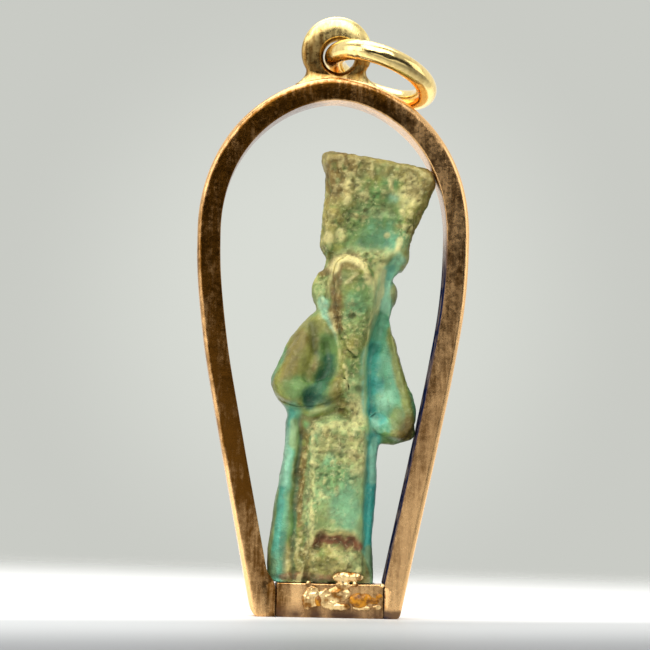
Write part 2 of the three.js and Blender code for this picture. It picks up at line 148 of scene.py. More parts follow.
def shade(mesh, smooth=True):
    mesh.polygons.foreach_set("use_smooth", [smooth] * len(mesh.polygons))


def mesh_object(name, points, faces, smooth=True):
    mesh = bpy.data.meshes.new(name)
    mesh.from_pydata([tuple(p) for p in points], [], [tuple(f) for f in faces])
    mesh.validate()
    shade(mesh, smooth)
    mesh.update()
    return in_scene(name, mesh)


def evaluated(thing, name):
    """The mesh that a scratch object's modifiers make. The scratch object goes."""
    graph = bpy.context.evaluated_depsgraph_get()
    mesh = bpy.data.meshes.new_from_object(thing.evaluated_get(graph))
    mesh.name = name
    bpy.data.objects.remove(thing)
    return mesh


def rows_of(items, field, width, kind=np.float64):
    """One field of a mesh's points or edges, with a row for each of them."""
    values = np.empty(len(items) * width, dtype=kind)
    items.foreach_get(field, values)
    return values.reshape(-1, width)


def point_array(mesh):
    return rows_of(mesh.vertices, "co", 3)


def normal_array(mesh):
    return rows_of(mesh.vertices, "normal", 3)


def put_points(mesh, points):
    mesh.vertices.foreach_set("co", np.ascontiguousarray(points, dtype=np.float64).ravel())
    mesh.update()


def note(mesh, name, values):
    """Keep a value from 0 to 1 on every point, for the piece's finish."""
    layer = mesh.attributes.new(name, "FLOAT", "POINT")
    layer.data.foreach_set("value", np.clip(values, 0, 1).astype(np.float32))


def into_metres(thing):
    """Metres, nowhere outside the box of the solids, and no edge shorter than CLOSEST."""
    points = point_array(thing.data) * MM
    put_points(thing.data, np.clip(points, np.array(cad_box[0]), np.array(cad_box[1])))
    skin = bmesh.new()
    skin.from_mesh(thing.data)
    bmesh.ops.dissolve_degenerate(skin, edges=skin.edges, dist=CLOSEST * MM)
    bmesh.ops.triangulate(skin, faces=[face for face in skin.faces if len(face.verts) > 4])
    skin.to_mesh(thing.data)
    skin.free()


def angles(count):
    """Angles evenly spaced around a circle."""
    return np.linspace(0, 2 * math.pi, count + 1)[:-1]


def squared(turn, power):
    """A circle's two sides, drawn towards a square by a power below 1."""
    return [np.sign(side) * np.abs(side) ** power for side in (np.cos(turn), np.sin(turn))]


def direction(line):
    """The unit direction of a line at each of its points."""
    along = np.gradient(line, axis=0)
    return along / np.linalg.norm(along, axis=1)[:, None]


def skin_over(rings):
    """Points and faces of a closed skin over an array of rings, with a fan over each end."""
    rows, count, _ = rings.shape
    points = np.vstack([rings.reshape(-1, 3), rings[0].mean(0), rings[-1].mean(0)])
    first, last = rows * count, rows * count + 1
    faces = []
    for row in range(rows - 1):
        for i in range(count):
            here, beside = row * count + i, row * count + (i + 1) % count
            faces.append((here, beside, beside + count, here + count))
    end = (rows - 1) * count
    for i in range(count):
        after = (i + 1) % count
        faces.append((after, i, first))
        faces.append((end + i, end + after, last))
    return points, faces


def fused(name, forms, voxel, bore=None):
    """One closed skin around overlapping closed forms, with a bore cut through it."""
    faces, start = [], 0
    for form_points, form_faces in forms:
        faces += [tuple(start + i for i in face) for face in form_faces]
        start += len(form_points)
    rough = mesh_object(name + "_rough", np.vstack([points for points, _ in forms]), faces)

    def remesh():
        skin = rough.modifiers.new("fuse", "REMESH")
        skin.mode = "VOXEL"
        skin.voxel_size = voxel
        skin.adaptivity = 0.0

    remesh()
    if bore:
        drill = mesh_object(name + "_bore", *bore)
        hole = rough.modifiers.new("bore", "BOOLEAN")
        hole.object = drill
        hole.operation = "DIFFERENCE"
        hole.solver = "EXACT"
        remesh()
    mesh = evaluated(rough, name)
    if bore:
        bpy.data.objects.remove(drill)
    shade(mesh)
    return in_scene(name, mesh)


def averager(mesh):
    """A function that gives, for every point, the mean of its neighbours."""
    edges = rows_of(mesh.edges, "vertices", 2, np.int64)
    count = len(mesh.vertices)
    degree = np.bincount(edges.ravel(), minlength=count)[:, None]

    def mean(points):
        total = np.empty_like(points)
        for axis in range(3):
            total[:, axis] = np.bincount(edges[:, 0], points[edges[:, 1], axis], count)
            total[:, axis] += np.bincount(edges[:, 1], points[edges[:, 0], axis], count)
        return total / degree

    return mean


def relaxed(mesh, points, rounds, strength=0.5):
    """Points moved towards the mean of their neighbours, and partly back so nothing shrinks."""
    mean = averager(mesh)
    for turn in range(rounds * 2):
        pull = strength if turn % 2 == 0 else -strength * PUSH_BACK
        points = points + pull * (mean(points) - points)
    return points


# ---- Smooth noise --------------------------------------------------------------------------


def lattice(cell, seed):
    """A repeatable number from 0 to 1 for each whole-numbered cell."""
    x, y, z = (cell[:, i].astype(np.int64) for i in range(3))
    mixed = (x * 73856093) ^ (y * 19349663) ^ (z * 83492791) ^ (seed * 2654435761)
    mixed = (mixed ^ (mixed >> 13)) * 1274126177 & 0xFFFFFFFF
    mixed = (mixed ^ (mixed >> 16)) & 0xFFFFFF
    return mixed / float(0xFFFFFF)


def smooth_noise(points, size, seed=0):
    """Noise from -1 to 1 whose lumps are about size across."""
    scaled = points / size
    cell = np.floor(scaled)
    inside = scaled - cell
    ease = inside * inside * (3 - 2 * inside)
    total = np.zeros(len(points))
    for corner in range(8):
        offset = np.array([corner & 1, corner >> 1 & 1, corner >> 2 & 1])
        weight = np.where(offset == 1, ease, 1 - ease).prod(1)
        total += weight * lattice(cell + offset, seed)
    return total * 2 - 1


def rough_noise(points, size, seed=0, layers=3):
    total = np.zeros(len(points))
    for layer in range(layers):
        total += smooth_noise(points, size / 2**layer, seed + layer) / 2**layer
    return total


def ramp(low, high, value):
    share = np.clip((value - low) / (high - low), 0, 1)
    return share * share * (3 - 2 * share)


def linear(red, green, blue):
    """A colour as a screen shows it, from 0 to 255, in the renderer's linear light."""

    def one(value):
        share = value / 255
        return share / 12.92 if share <= 0.04045 else ((share + 0.055) / 1.055) ** 2.4

    return (one(red), one(green), one(blue), 1.0)


# ---- The gold frame ------------------------------------------------------------------------


def bezier(start, pull_start, pull_end, end, steps):
    t = np.linspace(0, 1, steps + 1)[:, None]
    s = 1 - t
    return s**3 * start + 3 * s * s * t * pull_start + 3 * s * t * t * pull_end + t**3 * end


def arch_outline(leg_steps=60, steps=72):
    """The outer line of the arch, x and z, from its left foot over the top to its right one."""
    rise = WIDEST_LEVEL - LEG_TOP_LEVEL
    foot = np.array([FOOT_HALF_WIDTH, 0.0])
    knee = np.array([FOOT_HALF_WIDTH + LEG_TOP_LEVEL * LEG_LEAN, LEG_TOP_LEVEL])
    widest = np.array([FRAME_HALF_WIDTH, WIDEST_LEVEL])
    # The points lie closer together towards the foot, where it takes more shaping.
    leg = foot + (knee - foot) * np.linspace(0, 1, leg_steps)[:-1, None] ** 1.3
    knee_pull = knee + KNEE_PULL * rise * np.array([LEG_LEAN, 1])
    side = bezier(knee, knee_pull, widest - [0, WAIST_PULL * rise], widest, steps)
    shoulder_pull = widest + [0, SHOULDER_PULL * (FRAME_HEIGHT - WIDEST_LEVEL)]
    top_pull = np.array([TOP_PULL * FRAME_HALF_WIDTH, FRAME_HEIGHT])
    over = bezier(widest, shoulder_pull, top_pull, np.array([0.0, FRAME_HEIGHT]), steps)
    right = np.vstack([leg, side, over[1:]])
    return np.vstack([right * [-1, 1], right[-2::-1]])


def inner_half_width(level):
    """Half the clear width inside the arch at each level."""
    outline = arch_outline()
    half = outline[len(outline) // 2 :][::-1]
    along = direction(half)
    inner = half + np.c_[-along[:, 1], along[:, 0]] * BAND_THICKNESS
    return np.interp(level, inner[:, 1], inner[:, 0])


def band_section(corner_steps=6):
    """The band's section: distance in from its outer face, and depth."""
    half = BAND_DEPTH / 2
    turn = np.linspace(0, math.pi / 2, corner_steps + 1)

    def corner(x, y, radius, start):
        return [(x + radius * math.cos(start + t), y + radius * math.sin(start + t)) for t in turn]

    deep = half - OUTER_ROUNDING
    far = BAND_THICKNESS - INNER_ROUNDING
    section = corner(far, INNER_ROUNDING - half, INNER_ROUNDING, -math.pi / 2)
    section += corner(far, half - INNER_ROUNDING, INNER_ROUNDING, 0)
    section += corner(OUTER_ROUNDING, deep, OUTER_ROUNDING, math.pi / 2)
    section += corner(OUTER_ROUNDING, -deep, OUTER_ROUNDING, math.pi)
    return np.array(section)


def underside_front(level):
    """How far forward the filed underside lets the metal reach at each level."""
    rise = np.clip(level / CHAMFER_HEIGHT, 0, 1)
    return -BAND_DEPTH / 2 + CHAMFER_DEPTH * (1 - rise)


def shape_feet(points, into):
    """Both feet upright beside the bar, the right one filed and the left one filled."""
    x, y, z = points.T
    left, right = x < 0, x > 0
    filed = right & (z < BAR_HEIGHT + SEAM)
    x[filed] = np.maximum(x[filed], BAR_RIGHT + SEAM)
    filled = left & (into > BAND_THICKNESS - INNER_LAYER)
    flare = BAR_LEFT - SEAM - FILLET * ramp(BAR_HEIGHT - 0.5, BAR_HEIGHT + 0.8, z)
    close = ramp(BAR_HEIGHT + 0.7, BAR_HEIGHT - 0.1, z)
    x[filled] += (close * (np.maximum(x, flare) - x))[filled]
    y[right] = np.maximum(y[right], underside_front(z[right]))
    # The outer corners of both feet are worn round.
    worn = np.where(left, LEFT_CORNER_WEAR, RIGHT_CORNER_WEAR)
    short = worn * (1 - np.sqrt(1 - np.clip(1 - z / worn, 0, 1) ** 2))
    limit = FOOT_HALF_WIDTH + z * LEG_LEAN - 0.5 * short
    x[:] = np.clip(x, -limit, limit)


def note_arch(mesh, points, into, cloud):
    """Polish and painted light on the band, by place and by distance in from its
    outer face: brown high up and, as a painted reflection of the table, bright low down; a worn
    outer edge with a painted highlight; a painted highlight on the top of the inner face; lighter
    on the right leg and darker on the left leg's middle and upper left rim; painted shade beside
    the left foot's seam; painted shade along the foot of the front; and painted dark blue shade
    on the right leg's inner face."""
    x, y, z = points.T
    edge = ramp(0.3, 0.08, into)
    polish_and_painted_light = 0.6 * ramp(13, -3, z) + 0.42 * ramp(1, 5, x) + 0.85 * edge
    polish_and_painted_light -= 0.22 * ramp(-2, -4, x) * np.exp(-(((z - 6.5) / 2.6) ** 2))
    polish_and_painted_light -= 0.35 * ramp(0, -1, x) * ramp(4, 1.5, z) * ramp(0.6, 1.0, into)
    polish_and_painted_light -= 0.4 * edge * ramp(-3, -5, x) * ramp(6, 10, z) * ramp(23, 20, z)
    polish_and_painted_light += 0.1 * cloud
    polish_and_painted_light += 0.6 * ramp(1.08, 1.14, into) * ramp(21, 24, z) * ramp(-2, 0, x)
    # Painted shade along the foot of the front.
    note(mesh, "painted_foot_shade", 0.9 * ramp(0.5, 0.36, z) * ramp(0, 1, x) * ramp(-1.2, -1.4, y))
    note(mesh, "polish_and_painted_light", polish_and_painted_light)
    # Painted dark blue shade on the right leg's inner face.
    note(mesh, "painted_inner_shade", ramp(1.08, 1.15, into) * ramp(21, 17, z) * ramp(0, 2, x))


def make_arch():
    outline, section = arch_outline(), band_section()
    along = direction(outline)
    inward = np.c_[along[:, 1], -along[:, 0]]
    rings = np.empty((len(outline), len(section), 3))
    for i, (here, into, way) in enumerate(zip(outline, inward, along)):
        across = here[0] + into[0] * section[:, 0]
        up = here[1] + into[1] * section[:, 0]
        if i in (0, len(outline) - 1):  # the feet are cut level
            slide = -up / way[1]
            across, up = across + way[0] * slide, up + way[1] * slide
        rings[i] = np.c_[across, section[:, 1], up]
    points, faces = skin_over(rings)
    # The last two points are the middles of the feet, about halfway in.
    into = np.r_[np.tile(section[:, 0], len(outline)), 0.5, 0.5]
    shape_feet(points, into)
    # A hand-made band is never quite even.
    drift = np.c_[points[:, 0], points[:, 1] * 0.3, points[:, 2]]
    points[:, 0] += BAND_WAVER * smooth_noise(drift, 2.6, 5)
    points[:, 1] *= 1 - BAND_THINNING * (1 + smooth_noise(drift, 3.1, 6))
    thing = mesh_object("arch_band", points, faces)
    note_arch(thing.data, points, into, smooth_noise(drift, 2.2, 7))
    return thing


def make_bar():
    """The bar: a rounded block over a grid, fine enough to take its dents."""
    length = BAR_RIGHT + 0.8 * SEAM - BAR_LEFT
    turn = angles(BAR_GRID_AROUND)
    rings = []
    for share in np.linspace(0, 1, BAR_GRID_ALONG + 1):
        # The right end is rounded over a third of the left one's reach.
        near_end = min(share, 3 * (1 - share)) * length
        flat = max(BAR_ROUNDING**2 - max(BAR_ROUNDING - near_end, 0) ** 2, 0)
        inset = BAR_ROUNDING - math.sqrt(flat)
        y, z = squared(turn, BAR_SQUARENESS)
        y, z = y * (BAND_DEPTH / 2 - inset), z * (BAR_HEIGHT / 2 - inset) + BAR_HEIGHT / 2
        rings.append(np.c_[np.full(len(turn), BAR_LEFT + share * length), y, z])
    points, faces = skin_over(np.array(rings))
    points[:, 1] = np.maximum(points[:, 1], underside_front(points[:, 2]))
    front = ramp(-1.2, -1.45, points[:, 1])
    # Left of a polished step the front is plain; right of it old solder has roughened it.
    x, z = points[:, 0], points[:, 2]
    step = ramp(-1.66, -1.3, x)
    dents = rough_noise(points, 0.5, 11) * ramp(-1.3, -0.9, x)
    points[:, 1] += front * (0.08 - 0.07 * step + 0.03 * step * (1 + dents))
    thing = mesh_object("bar_block", points, faces)
    # Polish, with a painted highlight along the polished step.
    polish_and_painted_light = 0.5 + 0.4 * smooth_noise(points, 0.6, 12) + 0.9 * np.exp(-(((x + 1.47) / 0.2) ** 2))
    note(thing.data, "polish_and_painted_light", polish_and_painted_light)
    # Painted shade along the foot of the front, in patches.
    patchy = 0.9 + 0.5 * smooth_noise(points, 0.5, 13)
    note(thing.data, "painted_foot_shade", front * ramp(0.54, 0.42, z) * patchy)
    return thing


def turned(rows, centre, around=96):
    """A form turned about an axis that runs front to back. Each row is a radius and a depth."""
    turn = angles(around)
    rings = []
    for radius, depth in rows:
        x, z = centre[0] + radius * np.cos(turn), centre[1] - radius * np.sin(turn)
        rings.append(np.c_[x, np.full(around, depth), z])
    return skin_over(np.array(rings))


def make_loop():
    """The flat-faced loop, and the solder that flows from its sides down onto the arch."""
    face = LOOP_DEPTH / 2
    quarter = np.linspace(0, math.pi / 2, 15)
    slope = LOOP_EDGE_SLOPE * LOOP_ROUNDING
    edge = np.c_[
        LOOP_RADIUS - slope * (1 - np.sin(quarter)),
        LOOP_ROUNDING * (1 - np.cos(quarter)) - face,
    ]
    washer = turned(np.vstack([edge, edge[::-1] * [1, -1]]), (0, LOOP_LEVEL))
    top, bottom = LOOP_LEVEL - 0.25 * LOOP_RADIUS, FRAME_HEIGHT - LOOP_FOOT_SINKS
    neck = 0.9 * LOOP_RADIUS
    turn = angles(48)
    rings = []
    for share in np.linspace(0, 1, 28):
        spread = LOOP_FOOT_HALF_WIDTH + LOOP_FOOT_SPREAD * (1 - share) ** 3
        half = spread + (neck - spread) * ramp(0.15, 1.0, share)
        deep = 0.5 * LOOP_FOOT_DEPTH * (1 + 0.5 * (1 - share) ** 4)
        x, y = squared(turn, 0.55)
        level = np.full(len(turn), bottom + (top - bottom) * share)
        rings.append(np.c_[x * half, y * deep, level])
    foot = skin_over(np.array(rings))
    depths = np.linspace(-2 * face, 2 * face, 25)
    flare = LOOP_HOLE_RADIUS + LOOP_HOLE_FLARE * (depths / face) ** 2
    bore = turned(np.c_[flare, depths], (LOOP_HOLE_RIGHT, LOOP_HOLE_LEVEL))
    thing = fused("loop_and_solder", [washer, foot], LOOP_VOXEL, bore)
    points = relaxed(thing.data, point_array(thing.data), 8)
    low = points[:, 2] < FRAME_HEIGHT + 0.7
    points[:, 0] += low * 0.03 * smooth_noise(points, 0.7, 21)
    put_points(thing.data, points)
    x, z = points[:, 0], points[:, 2] - LOOP_LEVEL
    # The polish here is painted light: a painted reflection lighter on top and to the right, a
    # painted highlight round the upper rim, and lighter at the foot.
    polish_and_painted_light = 0.1 + 0.5 * ramp(0.3, 1.5, z) + 0.4 * ramp(-0.4, 1.0, x) * ramp(-0.4, 0.6, z)
    polish_and_painted_light += 0.4 * ramp(1.45, 1.75, np.hypot(x, z)) * ramp(-0.4, 0.8, z)
    polish_and_painted_light += 0.4 * ramp(-1.0, -1.6, z)
    note(thing.data, "polish_and_painted_light", polish_and_painted_light)
    return thing


RING_INPUTS = {"Ring radius": RING_RADIUS * MM, "Wire radius": RING_WIRE_RADIUS * MM}


def ring_tree(material):
    """Nodes that sweep round wire to a closed ring."""
    tree = bpy.data.node_groups.new("wire_ring", "GeometryNodeTree")
    for name, size in RING_INPUTS.items():
        socket = tree.interface.new_socket(name, in_out="INPUT", socket_type="NodeSocketFloat")
        socket.default_value = size
    tree.interface.new_socket("Ring", in_out="OUTPUT", socket_type="NodeSocketGeometry")
    nodes, link = tree.nodes, tree.links.new
    given = nodes.new("NodeGroupInput")
    sweep = nodes.new("GeometryNodeCurveToMesh")
    for name, steps, use in (("Ring radius", 160, "Curve"), ("Wire radius", 48, "Profile Curve")):
        circle = nodes.new("GeometryNodeCurvePrimitiveCircle")
        circle.inputs["Resolution"].default_value = steps
        link(given.outputs[name], circle.inputs["Radius"])
        link(circle.outputs["Curve"], sweep.inputs[use])
    smooth = nodes.new("GeometryNodeSetShadeSmooth")
    real = nodes.new("GeometryNodeRealizeInstances")
    finish = nodes.new("GeometryNodeSetMaterial")
    finish.inputs["Material"].default_value = material
    made = sweep.outputs["Mesh"]
    for step in (smooth, real, finish):
        link(made, step.inputs["Geometry"])
        made = step.outputs["Geometry"]
    link(made, nodes.new("NodeGroupOutput").inputs["Ring"])
    return tree


def make_jump_ring(material):
    holder = mesh_object("ring_path", [(0, 0, 0)], [])
    modifier = holder.modifiers.new("ring", "NODES")
    modifier.node_group = ring_tree(material)
    for item in modifier.node_group.interface.items_tree:
        if item.name in RING_INPUTS:
            modifier[item.identifier] = RING_INPUTS[item.name]
    mesh = evaluated(holder, "wire_ring")
    points = point_array(mesh) / MM
    angle = np.arctan2(points[:, 1], points[:, 0])
    # The joint where the wire's ends were closed shows as a shallow nick near the loop.
    joint = np.exp(-(((angle - JOINT_ANGLE) * RING_RADIUS / JOINT_WIDTH) ** 2))
    middle = np.c_[np.cos(angle), np.sin(angle), np.zeros(len(angle))] * RING_RADIUS
    points = middle + (points - middle) * (1 - JOINT_NICK * joint)[:, None]
    place = (
        Matrix.Translation((RING_X, 0, LOOP_HOLE_LEVEL))
        @ Matrix.Rotation(math.radians(RING_DROOP), 4, "Y")
        @ Matrix.Rotation(-math.radians(RING_TILT), 4, "X")
        @ Matrix.Translation((RING_RADIUS, 0, 0))
    )
    put_points(mesh, (np.c_[points, np.ones(len(points))] @ np.array(place).T)[:, :3])
    note(mesh, "polish_and_painted_light", 0.85 - 0.2 * joint)
    return in_scene("wire_ring", mesh)


# ---- The solder and resin on the bar -------------------------------------------------------


def ball(centre, radii, rows=18, around=28):
    turn = angles(around)
    rings = []
    for t in np.linspace(0.02, math.pi - 0.02, rows):
        level = np.full(around, -math.cos(t))
        ring = np.c_[np.sin(t) * np.cos(turn), np.sin(t) * np.sin(turn), level]
        rings.append(ring * radii + centre)
    return skin_over(np.array(rings))


def make_daub(name, lumps, unevenness, seed):
    """Lumps on the bar's front: share of its length, share of its height, how far each reaches
    along and up, and how far it stands out."""
    front = -BAND_DEPTH / 2
    forms = []
    for along, up, wide, high, thick in lumps:
        centre = np.array([BAR_LEFT + (BAR_RIGHT - BAR_LEFT) * along, front, BAR_HEIGHT * up])
        forms.append(ball(centre, np.array([wide, thick, high])))
    thing = fused(name, forms, DAUB_VOXEL)
    points = point_array(thing.data)
    normals = normal_array(thing.data)
    points += normals * (unevenness * rough_noise(points, 0.3, seed))[:, None]
    points += normals * (0.3 * unevenness * rough_noise(points, 0.13, seed + 1))[:, None]
    points = relaxed(thing.data, points, 3)
    points[:, 1] = np.clip(points[:, 1], front - DAUB_STANDS_OUT, front + DAUB_SINKS)
    put_points(thing.data, points)
    note(thing.data, "polish_and_painted_light", 0.5 + 0.7 * rough_noise(points, 0.4, seed + 3))
    return thing


# ---- The figure ----------------------------------------------------------------------------


def through(rows, levels):
    """A smooth curve through the rows of a table, read at the given levels."""
    table = np.array(rows, dtype=float)
    h, values = table[:, 0], table[:, 1:]
    slope = np.gradient(values, h, axis=0)
    i = np.clip(np.searchsorted(h, levels) - 1, 0, len(h) - 2)
    width = (h[i + 1] - h[i])[:, None]
    t = ((levels - h[i])[:, None]) / width
    start, end = values[i], values[i + 1]
    return (
        (2 * t**3 - 3 * t**2 + 1) * start
        + (t**3 - 2 * t**2 + t) * width * slope[i]
        + (3 * t**2 - 2 * t**3) * end
        + (t**3 - t**2) * width * slope[i + 1]
    )


def sliced(rows, slope=0.0, steps=120, around=96):
    """A form made of level slices: h, left, right, front, back, squareness."""
    levels = np.linspace(rows[0][0], rows[-1][0], steps)
    turn = angles(around)
    rings = []
    for h, (left, right, front, back, square) in zip(levels, through(rows, levels)):
        across, deep = squared(turn, 2 / square)
        a = (left + right + across * (right - left)) / 2
        d = np.where(deep < 0, -deep * front, deep * back)
        rings.append(np.c_[a, d, h + slope * a])
    return skin_over(np.array(rings))


def limb(joints, steps=60, around=32):
    """A limb along a bend through its joints: a, d, h, radius."""
    joints = np.array(joints, dtype=float)
    reach = np.r_[0, np.cumsum(np.linalg.norm(np.diff(joints[:, :3], axis=0), axis=1) ** 0.5)]
    bend = through(np.c_[reach, joints], np.linspace(0, reach[-1], steps))
    along = direction(bend[:, :3])
    side = np.cross([0.0, 1.0, 0.0], along)
    side /= np.linalg.norm(side, axis=1)[:, None]
    turn = angles(around)
    rings = []
    for centre, out, back in zip(bend, side, np.cross(along, side)):
        ring = np.outer(np.cos(turn), out) + np.outer(np.sin(turn), back)
        rings.append(centre[:3] + centre[3] * ring)
    return skin_over(np.array(rings))


def slab(low, high):
    """A block between two corners, in level slices."""
    (a, d, h), (a2, d2, h2) = low, high
    rings = [[(a, d, z), (a2, d, z), (a2, d2, z), (a, d2, z)] for z in np.linspace(h, h2, 40)]
    return skin_over(np.array(rings, dtype=float))


# Level slices of the body's forms: h, left, right, front, back, squareness.
ROBE = [
    [-8, -12.2, 12.9, -5.7, 6.4, 4], [4, -13.7, 11.1, -5.5, 6.4, 4],
    [12, -13.9, 9.8, -5.2, 6.2, 4], [22, -13.3, 9.4, -5.2, 6, 4], [31, -13.1, 8.7, -5.2, 5.8, 3.8],
    [37, -13.5, 8.9, -5, 5.4, 3.4], [43, -11, 8.5, -4.6, 5.2, 3],
]
ROBE_FRONT = [
    [-8, -4.2, 9.9, -6.6, 1, 5], [8, -5.2, 8.2, -6.9, 1, 5], [20, -6.4, 7, -7.2, 1, 5],
    [33, -8.8, 6.3, -7.1, 1, 4], [37.4, -8.2, 5.4, -6.2, 1, 3], [39.6, -6.6, 4.2, -4.6, 1, 2.4],
]
MANTLE = [
    [33.8, -9, 12.4, -3.2, 4, 3], [35.8, -12.6, 15.9, -3.9, 4.6, 3.4],
    [38.8, -13.8, 16.3, -4.3, 4.8, 3.4], [41.4, -16.4, 15.6, -4.4, 4.9, 3.2],
    [44.4, -18, 14.2, -4.4, 5, 3], [49, -17, 12.4, -4.3, 5, 3], [56, -14.8, 9.7, -4.3, 5.2, 2.8],
    [60, -12.1, 8.4, -4.5, 5.4, 2.8], [63.5, -9, 7, -4.4, 5.4, 2.8],
]
HEAD = [
    [58, -8.8, 6.6, -4.6, 5.4, 2.8], [63, -9.7, 7.3, -5.2, 6, 2.8],
    [68.5, -10.6, 7.6, -5.7, 6.3, 2.8], [72, -9.6, 6.9, -5.5, 6.2, 2.8],
    [75, -9, 8.6, -5.2, 5.9, 3], [79, -9.4, 8.8, -5.2, 5.6, 3],
]
FACE = [
    [53, -0.8, 1.6, -5.2, 1, 2.2], [56.5, -4, 2.8, -6.6, 1, 2.6], [61, -5.5, 3.8, -7.4, 1, 3],
    [66.5, -6.8, 4.1, -8, 1, 3.2], [71.5, -7.6, 3.3, -8.1, 1, 3.2], [74.4, -7, 1.6, -7.6, 1, 2.8],
    [76.4, -5.4, -0.8, -6.4, 1, 2.4],
]
CROWN = [
    [74.8, -9.2, 9, -4.8, 5.4, 3.2], [77, -10.7, 9.9, -6, 6.2, 3.6],
    [80.5, -11, 9.9, -6.2, 6.4, 4], [85, -11, 10.5, -6.3, 6.4, 4],
    [89.5, -11.2, 12.2, -6.5, 6.5, 4], [94, -11.8, 13.5, -6.8, 6.6, 4],
    [97.6, -12.9, 13.6, -6.8, 6.4, 4], [98.9, -12, 12.7, -6.2, 5.8, 3.4],
    [99.5, -10, 11, -4.8, 4.6, 3],
]
# The arms' joints: a, d, h, radius.
LEFT_ARM = [
    [-10, -0.8, 59, 1.8], [-12.4, -2.2, 52, 3.2], [-14.2, -2.9, 44.8, 3.7], [-9.4, -4, 42.8, 3],
    [-4.2, -4, 44.6, 2.9], [-1.2, -3.2, 46.4, 2.4],
]
RIGHT_ARM = [
    [7.2, -0.8, 58.6, 1.8], [9.6, -1.9, 50, 2.8], [13, -2.6, 41, 3.2], [12.6, -3, 37.8, 2.6],
    [8.6, -3.8, 38.2, 2.2], [6.2, -4, 40.4, 1.4],
]
# The pillar at the back, between two corners, and the ears: middle, radii.
PILLAR = (-6.6, 1, -8), (3.2, 8.2, 73.5)
EARS = [((-9.2, -0.6, 68.2), (2.3, 2.6, 4.2)), ((6.3, -0.4, 68.4), (2.1, 2.4, 3.4))]

# Lines over the front of the figure. One that ends where it starts is an outline.
CROWN_HOLLOW = [
    (-5.9, 86), (-2.4, 88.1), (3.1, 89.8), (5.9, 88), (7.1, 82.8), (6.6, 78.7), (2.9, 76.8),
    (-3.2, 76.2), (-5.9, 79.2), (-6.6, 82.6), (-5.9, 86),
]
CROWN_TOP = [(-12.2, 98.4), (-9, 99.2), (-4.5, 98.9), (4, 98.2), (12.4, 96.6)]
CROWN_RIGHT = [(12.4, 97), (10.6, 91.5), (8.9, 84.7), (7.3, 79.3), (8.1, 76.5)]
CROWN_LEFT = [(-12.1, 98), (-10.2, 90), (-9.9, 82.9), (-9.6, 78.2)]
CROWN_BAND = [(-6.9, 75.9), (-3.8, 77.3), (1.4, 77.5), (6.1, 77.7), (8.6, 76.6)]
FACE_PANEL = [
    (-7.8, 73.5), (-6.8, 75.4), (-4.6, 76.3), (-2, 76), (0.3, 74.6), (1.9, 71.5), (3.3, 67.9),
    (3.8, 65.8), (3.4, 62.2), (3.1, 57.2), (2.8, 51), (3.4, 46), (-1.2, 47), (-3, 51.2),
    (-4.4, 55.3), (-6, 59.6), (-6.9, 63.5), (-7.9, 69.7), (-7.8, 73.5),
]
FACE_TOP = [
    (-7.6, 72.6), (-6.5, 74.8), (-4.6, 75.6), (-2.6, 75.6), (-0.6, 74.5), (0.5, 72.6), (1.1, 70.6),
]
FACE_RIGHT = [(1.7, 71.5), (3.2, 67.9), (3.6, 65.6), (3.1, 62.2), (2.8, 57.2)]
FACE_STRIP = [(-6.8, 74.2), (-6.6, 71), (-6.4, 68), (-5.7, 65.6), (-5.6, 61.8), (-5, 59)]
BROW = [(-4, 69.5), (-1.7, 72)]
RIGHT_VALLEY = [(7.2, 76.4), (5.7, 73.2), (5.4, 68.4), (5.4, 64.4), (5.3, 60.1), (5, 55.4)]
LAPPET = [(-8.7, 64.8), (-7.3, 60.4), (-5.5, 55.9)]
LEFT_SLEEVE = [
    (-9.3, 61.8), (-12.8, 59.7), (-14.2, 55.5), (-16.2, 49.3), (-18.4, 43.9), (-17.4, 40.6),
    (-14, 39.7), (-10.9, 39.2), (-8.2, 38.4), (-5, 39.5), (-1.9, 41.1), (-0.1, 43.2), (0.5, 46.3),
    (-1.1, 49.4), (-3.2, 52.9), (-5.7, 57.5), (-7.3, 60.4), (-9.3, 61.8),
]
SLEEVE_HOLLOW = [(-10.4, 59.3), (-9.7, 55.8), (-8.7, 53.1)]
SLEEVE_RIDGE = [(-8.5, 55.5), (-7.6, 52.3), (-8.4, 49)]
ARM_CREASE = [(-6.4, 55.1), (-5.6, 51), (-5.5, 49), (-7, 44.6), (-9, 41.9)]
FOREARM_CREASE = [(-9.6, 41.9), (-5.6, 41.9)]
FOREARM_EDGE = [
    (-16.5, 40.8), (-13.5, 40.1), (-10.9, 39.7), (-8.2, 38.8), (-5, 39.9), (-1.9, 41.5),
]
UNDER_FOREARM = [(-12.5, 38.9), (-10.5, 38.1), (-7.5, 37.2), (-4.4, 38.3), (-1.3, 39.9)]
UNDER_ELBOW = [(-10.5, 36.6), (-9.8, 34.6), (-8.9, 32.8)]
CHEST_RIDGE = [(-0.4, 54.7), (0.6, 48.9), (0.5, 44.2)]
WAIST_RIDGE = [(0.3, 45.8), (1.7, 42), (3.4, 36.3)]
RIGHT_SLEEVE = [
    (4.9, 64.8), (7.2, 63.2), (8.3, 58.6), (10.8, 52.3), (13.4, 45.1), (15.5, 39.3), (15.9, 36.3),
    (14.2, 35.1), (12.4, 36), (9.5, 36.8), (8.2, 36), (8, 32.2), (6.4, 33.4), (4.7, 41.2),
    (3.4, 49.3), (3, 55.6), (3.7, 59.9), (4.9, 64.8),
]
RIGHT_SLEEVE_EDGE = [(4.5, 64.3), (3.2, 59.9), (2.8, 55.6), (3.2, 49.2), (4.4, 41.1), (6, 34.3)]
RIGHT_SLEEVE_RIM = [(8, 60), (10.8, 51.6), (13.3, 44.6), (15.3, 38.6), (14.6, 35.9), (11.8, 36.6)]
RIGHT_SLEEVE_FOLD = [(4.1, 55.5), (4.3, 48.2), (5.9, 40.9), (7.3, 39.2)]
